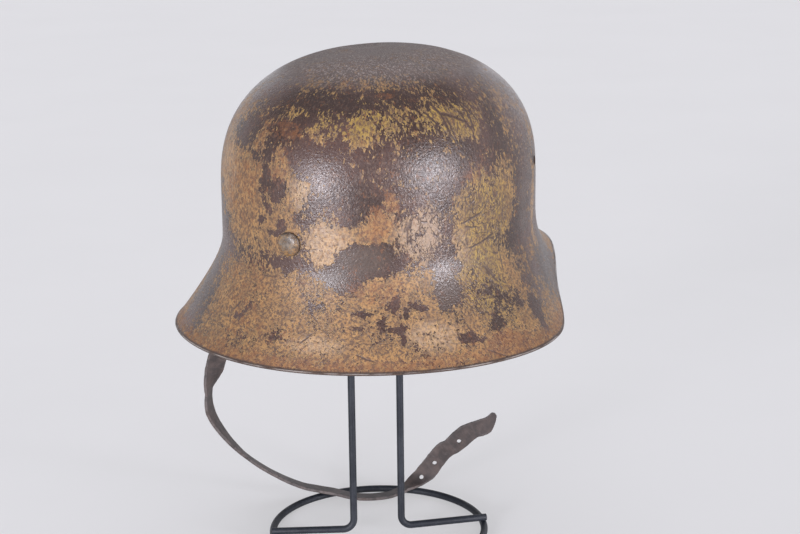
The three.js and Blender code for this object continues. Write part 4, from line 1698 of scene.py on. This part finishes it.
# %% [markdown]
# ## Finish of the rivets
# The rivets were painted with the shell, but their heads stand proud and have been rubbed, so the
# paint lies round the foot of the dome and the top is bare. The cover is stored by how far each
# vertex lies from the axis.
# A dark ring at the edge of each head is painted shade, for the gap where the head meets the shell.

# %% Chart the rivets
RIVET_COVER = 0.34
FOOT_COVER = 0.3
LOW_COVER = 0.25
RIVET_SCORED = 0.3

for copy, (name, azimuth) in zip(rivet_pieces, RIVET_PLACES):
    share = share_at(azimuth, RIVET_HEIGHT)
    foot = skin_point(azimuth, share)
    out = skin_out(azimuth, share)
    head = np.array([vertex.co for vertex in copy.data.vertices])
    offset = head - np.array(foot)
    flat_offset = offset - np.outer(offset @ np.array(out), np.array(out))
    rubbed = np.linalg.norm(flat_offset, axis=1) / HEAD_RADIUS
    low_side = np.clip(-flat_offset[:, 2] / HEAD_RADIUS, -1, 1)
    foot_side = soft((rubbed - 0.35) / 0.5)
    store(copy, "paint_cover", RIVET_COVER + FOOT_COVER * foot_side + LOW_COVER * low_side)
    store(copy, "scored", np.full(len(rubbed), RIVET_SCORED))
    store(copy, "rubbed", rubbed)
    store_places(copy, "brushed", offset)

print("rivets charted:", len(rivet_pieces))

# %% Paint the rivets
RIVET_BREAK = 120.0
RIVET_GRAIN = 0.12 * MM
RIVET_RELIEF = 0.06 * MM

finish = painted_steel("rubbed_rivet_paint", RIVET_BREAK)
rivet_paint, tree, surface, place, brush, paint, marks = finish
rub_cloud = fade(tree, cloud(tree, place, 300.0, 5.0), 0.38, 0.6)
plum = tint(tree, rub_cloud, RIVET_BARE, RIVET_RUBBED)
sand_cloud = fade(tree, cloud(tree, place, 420.0, 6.0, 0.7), 0.36, 0.6)
sand = tint(tree, sand_cloud, SAND_DEEP, SAND)
held = sums(tree, "MULTIPLY", paint["Mask"], rest_of(tree, marks))
colour = tint(tree, sums(tree, "MULTIPLY", held, 0.85), plum, sand)
# Painted shade: a dark ring round the edge of the head, where it meets the shell.
rivet_foot_shade = fade(tree, attribute(tree, "rubbed"), 0.84, 1.0)
colour = tint(tree, sums(tree, "MULTIPLY", rivet_foot_shade, 0.8), colour, PAINTED_SHADE_DARK)
tree.links.new(colour, surface.inputs["Base Color"])
tree.links.new(plus(tree, 0.36, held, 0.2), surface.inputs["Roughness"])
skin = use_group(tree, grain, {"Place": place, "Size": 520.0})["Height"]
relief = plus(tree, sums(tree, "MULTIPLY", skin, RIVET_GRAIN), held, RIVET_RELIEF)
raise_relief(tree, surface, relief)
for copy in rivet_pieces:
    dress(copy, rivet_paint)
print("rivet finish:", len(tree.nodes), "nodes")

# %% [markdown]
# ## Finish of the leather
# Old strap leather is nearly black, dry and a little dusty, paler along its cut edges and at the
# creases of the free end. Its grain and creases follow the strip, so they are read from the flat
# lay that was kept as a UV map.

# %% Stain and crease the leather
LEATHER_DEEP = (0.025, 0.019, 0.018, 1)
LEATHER = (0.060, 0.043, 0.038, 1)
LEATHER_DUSTY = (0.190, 0.170, 0.165, 1)
CREASE_WAY = (0.22, 1.0, 1.0)
PORE_RELIEF = 0.06 * MM
CREASE_DEPTH = 0.07 * MM

strap_leather, tree, surface = new_material("dry_strap_leather")
flat = add_node(tree, "UVMap", uv_map="flat_lay").outputs["UV"]
stretched = scaled(tree, flat, CREASE_WAY)
creases = fade(tree, cloud(tree, stretched, 420.0, 5.0, 0.6), 0.52, 0.68)
stain = fade(tree, cloud(tree, flat, 120.0, 6.0, 0.62), 0.35, 0.68)
colour = tint(tree, stain, LEATHER_DEEP, LEATHER)
edge = fade(tree, attribute(tree, "edge_share"), 0.82, 0.99)
edge_cloud = fade(tree, cloud(tree, flat, 500.0, 4.0), 0.3, 0.6)
dusty = sums(tree, "MULTIPLY", edge, edge_cloud)
dusty = sums(tree, "MAXIMUM", dusty, sums(tree, "MULTIPLY", creases, 0.35))
colour = tint(tree, sums(tree, "MULTIPLY", dusty, 0.25), colour, LEATHER_DUSTY)
tree.links.new(colour, surface.inputs["Base Color"])
dull = plus(tree, 0.5, cloud(tree, flat, 300.0, 5.0), 0.3)
tree.links.new(dull, surface.inputs["Roughness"])
pores = use_group(tree, grain, {"Place": flat, "Size": 1500.0})["Height"]
pores = sums(tree, "MULTIPLY", pores, PORE_RELIEF)
relief = sums(tree, "SUBTRACT", pores, sums(tree, "MULTIPLY", creases, CREASE_DEPTH))
raise_relief(tree, surface, relief)
dress(strap, strap_leather)
print("leather finish:", len(tree.nodes), "nodes")

# %% [markdown]
# ## Finish of the wire and the clasp
# The wire is dipped in blue-black paint, smooth with a slight ripple and a few specks rubbed
# through. The clasp inside the shell is plain dark steel. Its solid already has the right shape, so
# it stays and only its material is changed.

# %% Paint the wire
WIRE_BLACK = (0.008, 0.010, 0.015, 1)
WIRE_WORN = (0.036, 0.041, 0.050, 1)
WIRE_SHINE = 0.3
WIRE_RIPPLE = 0.04 * MM

stand_paint, tree, surface = new_material("dipped_black_paint")
place = add_node(tree, "TexCoord").outputs["Object"]
cover = fade(tree, cloud(tree, place, 34.0, 4.0), 0.2, 0.75)
sockets = {"Place": place, "Brushed": place, "Cover": cover, "Size": 130.0, "Crisp": 0.2}
worn = use_group(tree, ragged, sockets)["Mask"]
colour = tint(tree, sums(tree, "MULTIPLY", worn, 0.35), WIRE_BLACK, WIRE_WORN)
tree.links.new(colour, surface.inputs["Base Color"])
dull = plus(tree, 0.42, cloud(tree, place, 160.0, 5.0), 0.25)
tree.links.new(dull, surface.inputs["Roughness"])
surface.inputs["Specular IOR Level"].default_value = WIRE_SHINE
ripple = use_group(tree, grain, {"Place": place, "Size": 420.0})["Height"]
raise_relief(tree, surface, sums(tree, "MULTIPLY", ripple, WIRE_RIPPLE))
dress(stand, stand_paint)
print("wire finish:", len(tree.nodes), "nodes")

# %% Rust the clasp
CLASP_STEEL = (0.210, 0.195, 0.180, 1)
CLASP_METAL = 0.8

bail_steel, tree, surface = new_material("dark_clasp_steel")
surface.inputs["Metallic"].default_value = CLASP_METAL
place = add_node(tree, "TexCoord").outputs["Object"]
sockets = {"Place": place, "Brushed": place, "Cover": 0.4, "Size": 150.0, "Crisp": 0.2}
rust = use_group(tree, ragged, sockets)["Mask"]
colour = tint(tree, sums(tree, "MULTIPLY", rust, 0.8), CLASP_STEEL, RUST_DEEP)
tree.links.new(colour, surface.inputs["Base Color"])
tree.links.new(plus(tree, 0.38, rust, 0.35), surface.inputs["Roughness"])
dress(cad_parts["strap_bail"], bail_steel)
print("clasp finish:", len(tree.nodes), "nodes")

# %% [markdown]
# ## Finish of the floor
# The stand rests on a plain pale surface that fades into the background. Lamps alone would leave it
# grey far away, so the surface also glows a little by itself. It has no shine, because a mirrored
# lamp would burn a white patch into the views from other sides. The Standard view transform keeps
# the colours as they were mixed.

# %% Light up the floor
FLOOR_PALE = (0.390, 0.390, 0.400, 1)
FLOOR_SHADE = (0.360, 0.360, 0.370, 1)
FLOOR_GLOW = (0.985, 0.98, 1.0, 1)
GLOW_STRENGTH = 0.43

floor_finish, tree, surface = new_material("pale_cloth")
place = add_node(tree, "TexCoord").outputs["Object"]
colour = tint(tree, cloud(tree, place, 5.0, 3.0), FLOOR_SHADE, FLOOR_PALE)
tree.links.new(colour, surface.inputs["Base Color"])
surface.inputs["Roughness"].default_value = 1.0
surface.inputs["Specular IOR Level"].default_value = 0.0
surface.inputs["Emission Color"].default_value = FLOOR_GLOW
surface.inputs["Emission Strength"].default_value = GLOW_STRENGTH
floor.data.materials.append(floor_finish)
bpy.context.scene.view_settings.view_transform = "Standard"
print("floor finished")
